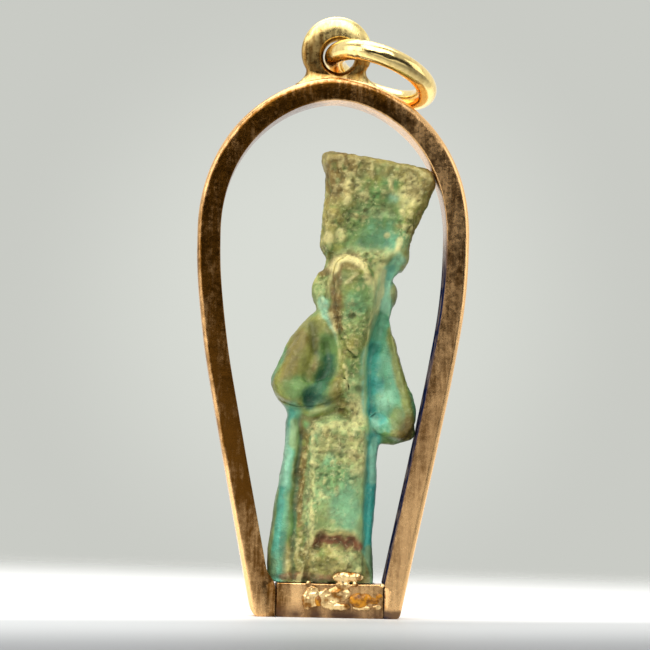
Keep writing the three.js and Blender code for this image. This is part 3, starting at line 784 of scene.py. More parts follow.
SKIRT_LEFT = [(-12.7, 38.5), (-12.6, 31.9), (-12.6, 22.4), (-12.6, 13), (-12.2, 3.6), (-11.4, -1)]
SKIRT_GROOVE = [(-9.8, 33.2), (-9.5, 25.2), (-8.9, 15.8), (-8.2, 7.7), (-7.2, 0)]
SKIRT_FOLD = [(-8.7, 33.3), (-8.1, 25.4), (-7.4, 16), (-6.8, 7.8)]
PANEL_LEFT = [(-7.4, 34), (-6.8, 31.4), (-6, 23.3), (-5.1, 15.1), (-5, 6.9)]
PANEL = [
    (-8.4, 35), (-7.4, 37), (-4, 37.4), (0, 38.4), (3.6, 36.8), (5.4, 34), (6.7, 28), (7.3, 20),
    (7.7, 13), (8, 9.8), (8.4, 2), (-5, 2), (-5.2, 15.1), (-6.2, 23.3), (-8.4, 35),
]
PANEL_GROOVE = [(6.1, 33), (7.4, 25), (7.7, 16.8), (8.3, 9.8), (10, 3)]
RIGHT_STRIP = [(7.2, 34.5), (8.2, 25.2), (8.7, 17), (9.5, 8.8), (11.3, 2)]
BREAK = [
    (-3.2, 10.7), (-1.9, 11.8), (4.7, 12.2), (6.4, 9.6), (8.7, 6.3), (10.7, 2.3), (10.6, -2),
    (-4.6, -2), (-4.9, 2.7), (-4.3, 6.5), (-3.2, 10.7),
]
BREAK_LEDGE = [(-2.9, 8.8), (-2.4, 10.4), (1, 10.4), (3.5, 9.3), (5, 10.8), (6.6, 9.4)]

# What stands out of the front or is sunk in it (then height is below 0). Each row is a
# shape, its size and its height: an outline and its softness, a line and its width, or an
# oval's middle and half sizes.
RELIEF = [
    (CROWN_HOLLOW, 3.2, -2), (FACE_PANEL, 0.6, 1), (LEFT_SLEEVE, 1.3, 1.2),
    (RIGHT_SLEEVE, 0.8, -0.7), (PANEL, 0.7, 0.4), (BREAK, 0.8, -1.6), (CROWN_TOP, 1.5, 0.7),
    (CROWN_RIGHT, 1.5, 0.7), (CROWN_LEFT, 1.8, 0.5), (CROWN_BAND, 1.4, 0.5), (FACE_TOP, 0.9, 0.8),
    (FACE_RIGHT, 0.7, 0.2), (BROW, 0.5, 0.3), ([(-2.3, 71.2), (-1.9, 65.6)], 0.9, 0.45),
    (RIGHT_VALLEY, 1.5, -1.9), (LAPPET, 1, 0.5), ([(-8.5, 72.6), (-8.3, 66)], 0.6, -0.8),
    ([(-8.2, 76.2), (-7.9, 73.4)], 0.7, -1.5), (SLEEVE_HOLLOW, 1.3, -1), (SLEEVE_RIDGE, 0.9, 0.5),
    (ARM_CREASE, 1.9, -2.1), (FOREARM_CREASE, 1.3, -1.2), (FOREARM_EDGE, 1.2, 0.3),
    (UNDER_FOREARM, 1.2, -0.5), (UNDER_ELBOW, 1, -1.1), (CHEST_RIDGE, 1.8, 0.8),
    (WAIST_RIDGE, 1.3, 0.8), (RIGHT_SLEEVE_EDGE, 0.6, 0.7), (RIGHT_SLEEVE_RIM, 0.9, 0.8),
    (RIGHT_SLEEVE_FOLD, 1.2, -1.3), (SKIRT_LEFT, 1.9, 0.5), (SKIRT_GROOVE, 0.8, -1),
    (SKIRT_FOLD, 0.9, 0.2), (PANEL_LEFT, 0.6, 0.25), (PANEL_GROOVE, 0.7, -0.4),
    (BREAK_LEDGE, 1, -0.8), ((-9.3, 77.2), (1.7, 2.2), 1.2), ((-1.6, 62.3), (0.9, 0.8), -0.6),
    ((-4.3, 70.9), (1.3, 0.9), -0.4), ((0.2, 70.3), (1.2, 0.9), -0.4),
    ((-10.1, 68.8), (1, 2), -0.7), ((7.3, 69), (1, 2.4), 0.7), ((-0.3, 66), (0.6, 0.6), 0.35),
    ((-1.2, 68.5), (0.5, 0.5), 0.3), ((-1.6, 60.4), (1.6, 0.8), 0.35),
    ((9.4, 43.4), (1.9, 3.2), 0.5), ((-2.6, 4.8), (1.6, 1.4), 1.1), ((0.9, 6.6), (1.3, 1.1), 1),
    ((4.3, 5.6), (1.9, 1.6), 1.2), ((7.1, 3.4), (1.4, 1.4), 0.9), ((2.6, 3.2), (2, 1.2), 0.9),
    ((-3.4, 47.5), (2.6, 3.6), 0.9), ((-2, 27), (3.2, 4), -0.4), ((2.4, 31), (2.6, 3), 0.35),
    ((3.8, 86.2), (1.5, 0.8), 0.5), ((-6.1, 89), (1.2, 1.2), 0.6), ((-2.6, 90.4), (1.3, 1), 0.6),
    ((-3.7, 85.6), (1, 0.6), 0.6), ((-6.4, 80.8), (1, 1.4), 0.6), ((-9.3, 79.8), (1.2, 1.2), 0.6),
    ((-7.2, 92.2), (1, 1.3), 0.5), ((3.2, 93.9), (0.7, 1.4), 0.5), ((7, 88), (0.7, 0.7), 0.5),
    ((4.2, 82.2), (0.6, 0.6), 0.4), ((-1.3, 96.3), (0.6, 1.5), 0.4),
    ((1.9, 96.7), (0.6, 0.8), 0.4),
]

# Where the body is bare and rough: middle, half sizes.
BARE_SPOTS = [
    ((-7, 91), (6, 9)), ((9.5, 91), (3.5, 7)), ((-1, 58), (3.6, 5)), ((-0.5, 50), (3, 6)),
    ((-1, 31), (6, 6)), ((1, 8), (6, 5)), ((0, 76.5), (8, 2)), ((1.8, 40), (3, 4)),
    ((-10, 68.5), (2, 4)), ((-6, 18), (2.4, 14)),
]
# Where the smooth glaze is left: line and width.
GLAZED_LINES = [
    (RIGHT_VALLEY, 2), ([(7, 58), (9, 48), (9.5, 40)], 3.5), (RIGHT_SLEEVE_FOLD, 2.5),
    (SKIRT_LEFT, 2), (RIGHT_STRIP, 2), (ARM_CREASE, 2.6), ([(0, 80), (2, 83)], 3),
    ([(-12, 58), (-15, 44), (-9, 41)], 3.4),
]

# Glaze and bare body colours, as they look in soft daylight; SHADOW is painted shade.
GREEN, SAGE = (100, 134, 80), (150, 170, 118)
OLIVE, KHAKI, UMBER = (126, 126, 66), (154, 140, 88), (112, 88, 46)
TEAL, AQUA, BLUE = (104, 158, 124), (154, 196, 164), (74, 158, 146)
DEEP, CREAM, RUST, SHADOW = (14, 76, 60), (222, 210, 152), (122, 76, 56), (40, 48, 22)

# The paint in its order, one coat over another: colour, share, raggedness, shape, size.
PAINT = [
    (KHAKI, 0.8, 0.5, (-8.5, 92), (7, 12)), (KHAKI, 0.8, 0.4, CROWN_TOP, 3.4),
    (UMBER, 0.7, 0.9, (-8.5, 94), (5, 6)), (KHAKI, 0.8, 0.5, CROWN_RIGHT, 2.4),
    (GREEN, 0.8, 1, (1.2, 85), (8.5, 11)), (GREEN, 0.9, 0.8, (3.1, 82), (5.5, 4.6)),
    (TEAL, 0.5, 1.2, (3.5, 82), (5, 4)), (TEAL, 0.6, 1, (5.5, 80), (1.8, 2.2)),
    (DEEP, 0.35, 0.9, (-0.5, 79.4), (2.4, 1.6)), (SAGE, 0.7, 1.1, (2, 87.4), (5, 1.3)),
    (AQUA, 0.7, 0.9, (4.4, 90.7), (1.4, 1.3)), (OLIVE, 0.7, 0.9, [(10.5, 92), (9, 86)], 2),
    (CREAM, 0.6, 0.8, (-6.1, 89), (1.3, 1.3)), (CREAM, 0.6, 0.8, (-2.6, 90.4), (1.4, 1.1)),
    (CREAM, 0.7, 0.6, (-3.7, 85.6), (1.1, 0.7)), (CREAM, 0.6, 1.1, (-6.4, 80.8), (1.1, 1.5)),
    (CREAM, 0.6, 1.1, (-9.3, 79.8), (1.4, 1.6)), (CREAM, 0.5, 0.8, (-7.2, 92.2), (1.1, 1.4)),
    (CREAM, 0.7, 0.7, [(2.9, 94.8), (3.5, 92.8)], 0.5), (CREAM, 0.6, 0.6, (7, 88), (0.8, 0.8)),
    (CREAM, 0.6, 0.9, [(7.8, 96.6), (7, 91.6)], 0.7), (CREAM, 0.6, 0.7, (4.2, 82.2), (0.7, 0.7)),
    (CREAM, 0.5, 0.7, [(-1.5, 97.5), (-0.9, 94.6)], 0.4), (CREAM, 0.5, 1.2, (7.6, 92), (3, 4)),
    (CREAM, 0.6, 0.7, [(7.5, 81.2), (6.8, 78.2)], 0.7), (CREAM, 0.3, 1.3, CROWN_BAND, 1.3),
    (SAGE, 0.6, 1.1, CROWN_BAND, 1.6), (UMBER, 0.6, 0.4, (-9.7, 76.2), (1.6, 2.2)),
    (GREEN, 0.7, 0.5, (-8.8, 77.2), (1.2, 1.6)), (OLIVE, 0.75, 0.8, FACE_PANEL, 0.8),
    (GREEN, 0.8, 0.7, (0.4, 66.5), (3.6, 6)), (TEAL, 0.3, 1.1, (-1.8, 64.6), (3, 3.6)),
    (SAGE, 0.4, 0.8, (-1.2, 60), (2.8, 2)), (UMBER, 0.9, 0.5, FACE_STRIP, 1.5),
    (UMBER, 0.7, 0.6, (-4, 74), (3, 1.4)), (CREAM, 1, 0.6, FACE_TOP[:5], 1.25),
    (CREAM, 0.6, 0.9, FACE_TOP[4:], 0.8), (CREAM, 0.5, 0.8, [(-7.9, 71), (-7.8, 66)], 0.5),
    (CREAM, 0.5, 0.9, [(-6.6, 62), (-4.4, 55.6)], 0.5), (CREAM, 0.35, 1.2, FACE_RIGHT, 0.6),
    (CREAM, 0.5, 0.9, BROW, 0.4), (CREAM, 0.6, 1, (3.4, 74.8), (2.6, 2.6)),
    (CREAM, 0.8, 0.6, (2.8, 70.4), (0.9, 2.8)), (SAGE, 0.6, 1, (3.2, 68), (1.6, 4)),
    (UMBER, 0.6, 0.3, (-1.6, 62.3), (0.9, 0.7)), (CREAM, 0.4, 0.3, (-1.2, 68.5), (0.5, 0.5)),
    (TEAL, 0.85, 0.5, RIGHT_VALLEY, 1.9), (AQUA, 0.8, 0.9, RIGHT_VALLEY, 1.6),
    (BLUE, 0.4, 0.7, [(6.6, 75), (5.9, 72.4)], 0.7), (BLUE, 0.6, 0.5, [(5.1, 61), (4.6, 55)], 1.5),
    (CREAM, 0.6, 0.9, [(4.6, 73.6), (4.2, 64)], 0.8), (KHAKI, 0.6, 0.6, (7.6, 69.5), (1.2, 2.8)),
    (OLIVE, 0.7, 0.6, (-9.8, 68), (2.4, 4.2)), (SAGE, 0.6, 0.9, (-10, 67), (1.6, 3)),
    (UMBER, 0.8, 0.5, (-9.3, 71.6), (1.8, 1.2)), (AQUA, 0.8, 0.5, LAPPET, 1.1),
    (OLIVE, 0.95, 0.4, LEFT_SLEEVE, 0.8), (UMBER, 0.5, 0.8, [(-15, 46), (-12.6, 56)], 1.8),
    (GREEN, 0.85, 0.6, (-11.4, 44), (4.4, 3)), (SHADOW, 0.4, 1.1, SLEEVE_HOLLOW, 1.3),
    (UMBER, 0.8, 0.5, SLEEVE_RIDGE, 1.1), (GREEN, 0.85, 0.4, ARM_CREASE, 2.8),
    (DEEP, 0.75, 0.8, ARM_CREASE[1:], 2), (DEEP, 0.7, 0.8, [(-9.4, 41.8), (-5, 41.9)], 1.6),
    # The SHADOW patch and the UMBER along the forearm's underside are painted shade.
    (SHADOW, 0.35, 0.6, (-9.2, 41), (1.5, 0.9)), (UMBER, 0.6, 0.5, UNDER_FOREARM, 0.8),
    (UMBER, 0.75, 0.5, UNDER_ELBOW, 1), (SAGE, 0.5, 0.6, FOREARM_EDGE[3:], 0.6),
    (OLIVE, 0.9, 0.6, (-2, 46.2), (2.6, 4)), (UMBER, 0.4, 0.9, (-2, 45), (2.6, 3)),
    (OLIVE, 0.95, 0.8, CHEST_RIDGE, 2.6), (UMBER, 0.4, 0.9, CHEST_RIDGE, 1.8),
    (GREEN, 0.7, 1, (0.8, 51), (2.2, 5)), (SAGE, 0.8, 1, WAIST_RIDGE, 2.2),
    (CREAM, 0.5, 1.1, [(1.6, 42.5), (3.2, 37.5)], 1.5), (SAGE, 0.6, 0.8, (-2.5, 38.2), (3, 1.4)),
    (TEAL, 0.95, 0.2, RIGHT_SLEEVE, 0.5), (BLUE, 0.65, 1, RIGHT_SLEEVE_FOLD, 2),
    (BLUE, 0.6, 0.9, (6.2, 47.2), (2, 2.4)), (AQUA, 0.55, 1.1, (8.2, 43.6), (2.4, 2.6)),
    (BLUE, 0.8, 0.7, (5.5, 40.9), (1.5, 1.4)), (AQUA, 0.6, 1, [(7.4, 35), (6.9, 39)], 1),
    (OLIVE, 0.85, 0.4, RIGHT_SLEEVE_RIM, 1.3), (UMBER, 0.8, 0.4, (14, 38), (2.2, 3.2)),
    (OLIVE, 0.7, 0.6, (11.8, 40), (2, 3)), (SAGE, 0.6, 0.4, RIGHT_SLEEVE_EDGE, 0.5),
    (SAGE, 0.7, 0.8, PANEL, 0.8), (CREAM, 0.35, 1.2, [(-6, 35.5), (2, 37)], 1.4),
    (KHAKI, 0.6, 1, (-1, 32), (6, 4.5)), (TEAL, 0.6, 0.9, (2.4, 19), (4.2, 6.5)),
    (TEAL, 0.6, 0.9, (-2.6, 28), (1.8, 2)), (GREEN, 0.6, 0.9, (-1.4, 25), (3.4, 4)),
    (CREAM, 0.4, 1.2, (4.4, 30), (2.2, 4)), (OLIVE, 0.5, 0.9, (-3.4, 12), (2.6, 5)),
    (KHAKI, 0.8, 0.6, (-8, 4), (3, 7)), (TEAL, 0.95, 0.3, SKIRT_LEFT, 2.2),
    (BLUE, 0.5, 0.6, SKIRT_LEFT, 1), (SAGE, 0.8, 0.3, [(-13.7, 30), (-13.9, 16), (-13.6, 3)], 0.7),
    (AQUA, 0.7, 0.8, [(-12.6, 34), (-12.5, 22)], 1),
    (SAGE, 0.7, 0.5, [(-11.8, 36), (-11, 31)], 1.2), (TEAL, 0.6, 0.5, SKIRT_FOLD, 1.5),
    (OLIVE, 0.9, 0.6, SKIRT_FOLD, 1.2), (UMBER, 0.8, 0.7, [(-8.7, 30), (-7.9, 19), (-7.4, 13)], 1),
    (UMBER, 0.6, 0.8, [(-9, 33.5), (-7.4, 36)], 1.2),
    (SAGE, 0.7, 0.8, [(-6.9, 27), (-6.3, 14)], 0.8), (DEEP, 0.45, 0.6, SKIRT_GROOVE, 0.6),
    (CREAM, 0.35, 1.2, PANEL_LEFT, 0.6), (BLUE, 0.95, 0.2, RIGHT_STRIP, 1.9),
    (AQUA, 0.6, 0.5, RIGHT_STRIP[:2], 1.1), (OLIVE, 0.6, 0.4, RIGHT_STRIP[3:], 1.4),
    (KHAKI, 0.8, 0.8, BREAK, 0.5), (OLIVE, 0.6, 0.9, (-1, 4.5), (2.6, 4)),
    (CREAM, 0.6, 0.8, [(0.2, 8.6), (2.6, 7.4), (5.4, 7.6)], 0.9),
    (SAGE, 0.8, 0.7, (4.9, 6.6), (1.8, 1.8)), (SAGE, 0.6, 0.7, (7.4, 4.5), (1.8, 3.4)),
    (RUST, 0.95, 0.5, BREAK_LEDGE, 1.2), (CREAM, 0.5, 0.8, [(-3.4, 11.4), (5.4, 12.2)], 0.5),
    (UMBER, 0.6, 0.6, [(-4.8, 8.5), (-5.2, 2.5)], 0.9), (OLIVE, 0.5, 0.8, (-12.6, 2.5), (1.6, 4)),
    (DEEP, 0.5, 0.7, [(-10.8, 10), (-9.9, 1)], 0.9),
    (RUST, 0.7, 0.6, [(-9.5, 0.4), (1, 1.4)], 0.9),
    (SHADOW, 0.5, 0.3, [(-11, 0.2), (2, 0.4)], 0.6),
]


def gap_to(a, h, line):
    """Distance from each place on the front to a line drawn over it."""
    closest = np.full(len(a), 1e9)
    for start, end in zip(line[:-1], line[1:]):
        along = np.subtract(end, start)
        share = ((a - start[0]) * along[0] + (h - start[1]) * along[1]) / (along @ along)
        share = np.clip(share, 0, 1)
        gap = np.hypot(a - start[0] - share * along[0], h - start[1] - share * along[1])
        closest = np.minimum(closest, gap)
    return closest


def mask_of(a, h, where, size):
    """1 in a drawn shape and 0 away from it. An oval has a middle and two half sizes, a line has
    a width, and an outline, which ends where it starts, has the softness of its edge."""
    if isinstance(size, tuple):
        return np.exp(-(((a - where[0]) / size[0]) ** 2 + ((h - where[1]) / size[1]) ** 2))
    gap = gap_to(a, h, where)
    if where[0] != where[-1]:
        return np.exp(-((gap / size) ** 2))
    inside = np.zeros(len(a), dtype=bool)
    for (a0, h0), (a1, h1) in zip(where[:-1], where[1:]):
        crosses = (h0 > h) != (h1 > h)
        inside ^= crosses & (a < (a1 - a0) * (h - h0) / ((h1 - h0) or 1e-9) + a0)
    return ramp(-size, size, np.where(inside, gap, -gap))


def front_relief(points):
    a, _, h = points.T
    # Hand-pressed edges are never quite straight.
    a = a + 0.28 * smooth_noise(points, 3.0, 81)
    h = h + 0.28 * smooth_noise(points, 3.0, 82)
    return sum(height * mask_of(a, h, where, size) for where, size, height in RELIEF)


def bare_body(points, front):
    """Where the glaze has gone from the front and the rough body shows."""
    a, _, h = points.T
    bare = 0.45 + 0.5 * smooth_noise(points, 6.0, 55)
    for middle, radii in BARE_SPOTS:
        bare += 0.8 * mask_of(a, h, middle, radii)
    for line, width in GLAZED_LINES:
        bare -= 1.3 * mask_of(a, h, line, width)
    return np.clip(0.3 + (bare - 0.3) * front, 0, 1)


def coat(paint, colour, share):
    paint += share[:, None] * (np.array(linear(*colour)[:3]) - paint)


def painted(points, front, hollow, ridge, bare):
    """The glaze and bare body of every point, from broad clouds to worn edges, with painted
    shade in the hollows.
    """
    a, _, h = points.T
    broad, fine = rough_noise(points, 7.0, 51), rough_noise(points, 2.2, 52)
    a = a + 0.4 * smooth_noise(points, 2.4, 83)
    h = h + 0.4 * smooth_noise(points, 2.4, 84)
    paint = np.tile(np.array(linear(*GREEN)[:3]), (len(a), 1))

    def flecks(colour, share, low, high, size, seed):
        coat(paint, colour, share * bare * ramp(low, high, rough_noise(points, size, seed)))

    coat(paint, OLIVE, ramp(-0.3, 0.5, broad))
    coat(paint, TEAL, 0.7 * ramp(0.25, 0.8, -broad + 0.3 * fine))
    for colour, share, ragged, where, size in PAINT:
        mask = mask_of(a, h, where, size)
        patch = ramp(0.12, 0.75, mask + ragged * 0.45 * fine * np.sqrt(np.clip(mask, 0, 1)))
        coat(paint, colour, share * patch * front)
    flecks(CREAM, 0.5, 0.35, 0.8, 1.8, 58)
    flecks(UMBER, 0.45, 0.35, 0.8, 2.0, 59)
    flecks(GREEN, 0.4, 0.3, 0.8, 1.5, 60)
    mottle = 1 + 0.2 * rough_noise(points, 3.2, 56)
    mottle += 0.18 * (0.7 + bare) * rough_noise(points, 1.1, 57)
    mottle += 0.14 * (1 - bare) * rough_noise(points * [1, 1, 0.22], 0.8, 63)
    paint *= np.clip(mottle, 0.4, 1.5)[:, None]
    coat(paint, CREAM, (0.1 + 0.32 * bare) * ramp(0.3, 1.0, ridge + 0.15 * fine))
    # Painted shade in the hollows.
    coat(paint, SHADOW, (0.25 + 0.2 * bare) * ramp(0.3, 1.0, hollow))
    flecks(CREAM, 0.25, 0.4, 0.9, 1.1, 53)
    flecks(UMBER, 0.3, 0.35, 0.85, 0.9, 54)
    grey = paint.mean(axis=1)[:, None]
    return np.clip(grey + PAINT_RICHNESS * (paint - grey), 0, 1)


def bend_of(mesh, points, rounds):
    """How hollow (above 0) or ridged (below 0) the skin is over a few edges' reach."""
    mean, soft = averager(mesh), points
    for _ in range(rounds):
        soft = 0.3 * soft + 0.7 * mean(soft)
    put_points(mesh, points)
    return ((soft - points) * normal_array(mesh)).sum(1)


def make_figure():
    forms = [sliced(table) for table in (ROBE, ROBE_FRONT, MANTLE, HEAD, FACE)]
    forms.append(sliced(CROWN, slope=CROWN_SLOPE))
    forms += [limb(LEFT_ARM), limb(RIGHT_ARM), slab(*PILLAR)]
    forms += [ball(np.array(middle), np.array(radii)) for middle, radii in EARS]
    thing = fused("faience_figure", forms, FIGURE_VOXEL)
    mesh = thing.data
    points = relaxed(mesh, point_array(mesh), 8)
    put_points(mesh, points)
    front = ramp(0.1, 0.7, -normal_array(mesh)[:, 1])
    points[:, 1] -= front * front_relief(points)
    points = relaxed(mesh, points, 1, 0.4)
    put_points(mesh, points)
    normals = normal_array(mesh)
    front = ramp(-0.35, 0.25, -normals[:, 1])
    bare = bare_body(points, front)
    wear = 0.4 * rough_noise(points, 6.0, 41) + 0.16 * rough_noise(points, 1.8, 42)
    crust = 0.42 * rough_noise(points, 2.2, 44) + 0.2 * rough_noise(points, 1.0, 45, 2)
    pits = ramp(0.25, 0.6, rough_noise(points, 1.3, 43))
    points = points + normals * (0.6 * wear + bare * (crust - 0.3 * pits))[:, None]
    broad, fine = bend_of(mesh, points, 14), bend_of(mesh, points, 3)
    hollow = np.clip(broad / 0.45, 0, 1) + np.clip(fine / 0.12, 0, 1) * 0.5
    ridge = np.clip(-broad / 0.6, 0, 1) + np.clip(-fine / 0.12, 0, 1) * 0.4
    paint = painted(points, front, hollow, ridge, bare)
    colour = mesh.attributes.new("glaze", "FLOAT_COLOR", "POINT")
    colour.data.foreach_set("color", np.c_[paint, np.ones(len(paint))].astype(np.float32).ravel())
    note(mesh, "bare", bare)

    turn = np.array(Matrix.Rotation(FIGURE_LEAN, 3, "Y"))
    placed = (points * (FIGURE_HEIGHT / 100)) @ turn.T + [FIGURE_FOOT_X, 0, BAR_HEIGHT]
    placed[:, 2] = np.maximum(placed[:, 2], BAR_HEIGHT + SEAM)
    clear = inner_half_width(placed[:, 2]) - SEAM
    placed[:, 0] = np.clip(placed[:, 0], -clear, clear)
    put_points(mesh, placed)
    return thing


# ---- Finishes ------------------------------------------------------------------------------


class Nodes:
    """The nodes of a material or of the world, with short ways to add and link them."""

    def __init__(self, owner):
        owner.use_nodes = True
        self.nodes = owner.node_tree.nodes
        self.link = owner.node_tree.links.new

    def feed(self, socket, value):
        """Link a node's output to a socket, or set the socket to a number or a colour."""
        if isinstance(value, bpy.types.NodeSocket):
            self.link(value, socket)
        else:
            socket.default_value = value

    def add(self, kind, **inputs):
        """A new node. The name of each input has _ in place of a space."""
        node = self.nodes.new(kind)
        for name, value in inputs.items():
            self.feed(node.inputs[name.replace("_", " ")], value)
        return node

    def band(self, value, low, high, bottom=0.0, top=1.0):
        """A value remapped from low..high to bottom..top."""
        remap = self.add("ShaderNodeMapRange", Value=value, From_Min=low, From_Max=high)
        remap.interpolation_type = "SMOOTHSTEP"
        self.feed(remap.inputs["To Min"], bottom)
        self.feed(remap.inputs["To Max"], top)
        return remap.outputs["Result"]

    def reckon(self, operation, first, second):
        node = self.add("ShaderNodeMath")
        node.operation = operation
        self.feed(node.inputs[0], first)
        self.feed(node.inputs[1], second)
        return node.outputs["Value"]

    def plus(self, first, second):
        return self.reckon("ADD", first, second)

    def times(self, first, second):
        return self.reckon("MULTIPLY", first, second)

    def mix(self, share, first, second):
        """The first colour where the share is 0, the second where it is 1."""
        mix = self.add("ShaderNodeMix")
        mix.data_type = "RGBA"
        for i, value in ((0, share), (6, first), (7, second)):
            self.feed(mix.inputs[i], value)
        return mix.outputs[2]


class Finish(Nodes):
    """A material under construction."""

    def __init__(self, name):
        self.material = bpy.data.materials.new(name)
        super().__init__(self.material)
        self.shader = self.nodes["Principled BSDF"]
        self.place = self.add("ShaderNodeTexCoord").outputs["Object"]

    def noise(self, size, detail, roughness, stretch=(1, 1, 1), seed=(0, 0, 0)):
        """Noise whose lumps are about size millimetres across."""
        mapping = self.add("ShaderNodeMapping", Vector=self.place, Location=seed, Scale=stretch)
        noise = self.add("ShaderNodeTexNoise", Vector=mapping.outputs["Vector"], Detail=detail)
        self.feed(noise.inputs["Roughness"], roughness)
        self.feed(noise.inputs["Scale"], 1 / (size * MM))
        return noise.outputs["Fac"]

    def layer(self, name, output="Fac"):
        """What a piece keeps on its points under a name."""
        attribute = self.add("ShaderNodeAttribute")
        attribute.attribute_name = name
        return attribute.outputs[output]

    def bump(self, height, depth, under=None):
        """A relief of the given depth in millimetres."""
        bump = self.add("ShaderNodeBump", Height=height, Distance=depth * MM, Strength=1.0)
        if under is not None:
            self.link(under, bump.inputs["Normal"])
        return bump.outputs["Normal"]

    def set(self, name, value):
        self.feed(self.shader.inputs[name], value)


def gold(name, bright, dull, smoothness, scratches):
    """Worn gold: polished and brown places in soft clouds, with the painted light that each piece
    keeps in its polish note, painted shade in grey-brown and in dark blue, fine scratches and
    small dents.
    """
    finish = Finish(name)
    cloud = finish.noise(1.6, 6, 0.68)
    speck = finish.noise(0.25, 3, 0.7, seed=(3, 1, 2))
    brush = finish.noise(0.2, 3, 0.6, stretch=BRUSHED, seed=(4, 9, 2))
    streak = finish.noise(0.05, 2, 0.5, stretch=BRUSHED, seed=(7, 3, 1))
    # The polish note also carries each piece's painted light.
    polish_and_painted_light = finish.layer("polish_and_painted_light")
    for grain, edge, reach in ((cloud, 0.3, 0.16), (speck, 0.35, 0.07), (brush, 0.35, 0.12)):
        polish_and_painted_light = finish.plus(polish_and_painted_light, finish.band(grain, edge, 1 - edge, -reach, reach))
    tone = finish.mix(finish.band(polish_and_painted_light, 0.0, 1.0), linear(*dull), linear(*bright))
    tone = finish.mix(finish.band(speck, 0.62, 0.75, 0.0, 0.3), tone, linear(74, 44, 14))
    # Painted shade along the foot of the front: grey-brown and less metallic.
    tone = finish.mix(finish.layer("painted_foot_shade"), tone, linear(84, 62, 48))
    # Painted dark blue shade on the right leg's inner face.
    painted_inner_shade = finish.times(finish.layer("painted_inner_shade"), finish.band(cloud, 0.36, 0.56, 0.7, 1.0))
    finish.set("Base Color", finish.mix(painted_inner_shade, tone, linear(13, 26, 58)))
    dulled = finish.plus(painted_inner_shade, finish.times(finish.layer("painted_foot_shade"), 0.8))
    finish.set("Metallic", finish.band(dulled, 0.0, 1.0, 1.0, 0.0))
    finish.set("Roughness", finish.band(finish.plus(cloud, speck), 0.7, 1.3, *smoothness))
    dents = finish.bump(finish.noise(0.9, 3, 0.5), 0.02)
    finish.set("Normal", finish.bump(streak, scratches, dents))
    finish.set("Specular IOR Level", 0.0)
    return finish.material


def amber_resin():
    finish = Finish("amber_resin")
    cloud = finish.band(finish.noise(0.4, 4, 0.6), 0.38, 0.62)
    finish.set("Base Color", finish.mix(cloud, linear(112, 66, 2), linear(200, 132, 14)))
    finish.set("Roughness", 0.3)
    finish.set("Specular IOR Level", 0.35)
    finish.set("Normal", finish.bump(finish.noise(0.15, 3, 0.6), 0.01))
    return finish.material


def worn_faience():
    """The painted body and glaze, with flecks and pits too small to model."""
    finish = Finish("worn_faience")
    fleck = finish.noise(0.22, 5, 0.68, seed=(5, 2, 1))
    pit = finish.noise(0.12, 3, 0.62, seed=(1, 7, 3))
    bare = finish.layer("bare")
    rough = finish.band(bare, 0, 1, 0.3, 1)
    pale = finish.times(finish.band(fleck, 0.54, 0.7, 0, 0.42), rough)
    dark = finish.times(finish.band(pit, 0.54, 0.7, 0, 0.42), rough)
    colour = finish.mix(pale, finish.layer("glaze", "Color"), linear(230, 222, 162))
    finish.set("Base Color", finish.mix(dark, colour, linear(84, 78, 34)))
    finish.set("Roughness", finish.band(bare, 0, 1, 0.42, 0.75))
    lumps = finish.bump(finish.noise(0.45, 4, 0.6, seed=(2, 2, 5)), 0.05)
    finish.set("Normal", finish.bump(finish.plus(pit, fleck), 0.045, lumps))
    return finish.material


def pale_table():
    """White around the pendant, with painted shade that greys the foreground and darkens it
    further towards the camera, fading out in the distance.
    """
    finish = Finish("pale_table")
    split = finish.add("ShaderNodeSeparateXYZ", Vector=finish.place)
    depth, across = split.outputs["Y"], split.outputs["X"]
    aslant = finish.plus(depth, finish.times(across, 0.75))
    ahead = finish.plus(depth, finish.times(across, -0.5))
    # Painted shade towards the camera: grey near the pendant's front, then dark further out.
    near = finish.mix(
        finish.band(ahead, -0.046, -0.008), (0.15, 0.155, 0.16, 1), (0.44, 0.45, 0.45, 1)
    )
    near = finish.mix(finish.band(ahead, -0.010, 0.002), near, (0.88, 0.88, 0.87, 1))
    near = finish.mix(finish.band(depth, -0.1, -0.06), (0.08, 0.08, 0.08, 1), near)
    tone = finish.mix(finish.band(depth, 0.05, 0.16), near, (0.58, 0.58, 0.56, 1))
    finish.set("Base Color", tone)
    finish.set("Roughness", 0.5)
    finish.set("Specular IOR Level", 0.3)
    finish.set("Alpha", finish.band(aslant, 0.03, 0.19, 1.0, 0.0))
    return finish.material


# ---- The pieces ----------------------------------------------------------------------------

# Each gold's polished colour, brown colour, least and most roughness, and depth of scratches.
# Where a piece's polish note holds painted light, the two colours also give its painted
# reflections and painted shade.
GOLDS = {
    "brushed_gold": ((246, 197, 136), (104, 66, 20), (0.18, 0.32), 0.006),
    "loop_gold": ((254, 228, 152), (128, 94, 46), (0.2, 0.36), 0.004),
    "bright_gold": ((252, 224, 150), (170, 126, 62), (0.1, 0.2), 0.003),
    "solder_gold": ((252, 218, 156), (140, 92, 38), (0.22, 0.42), 0.006),
}
golds = {name: gold(name, *look) for name, look in GOLDS.items()}

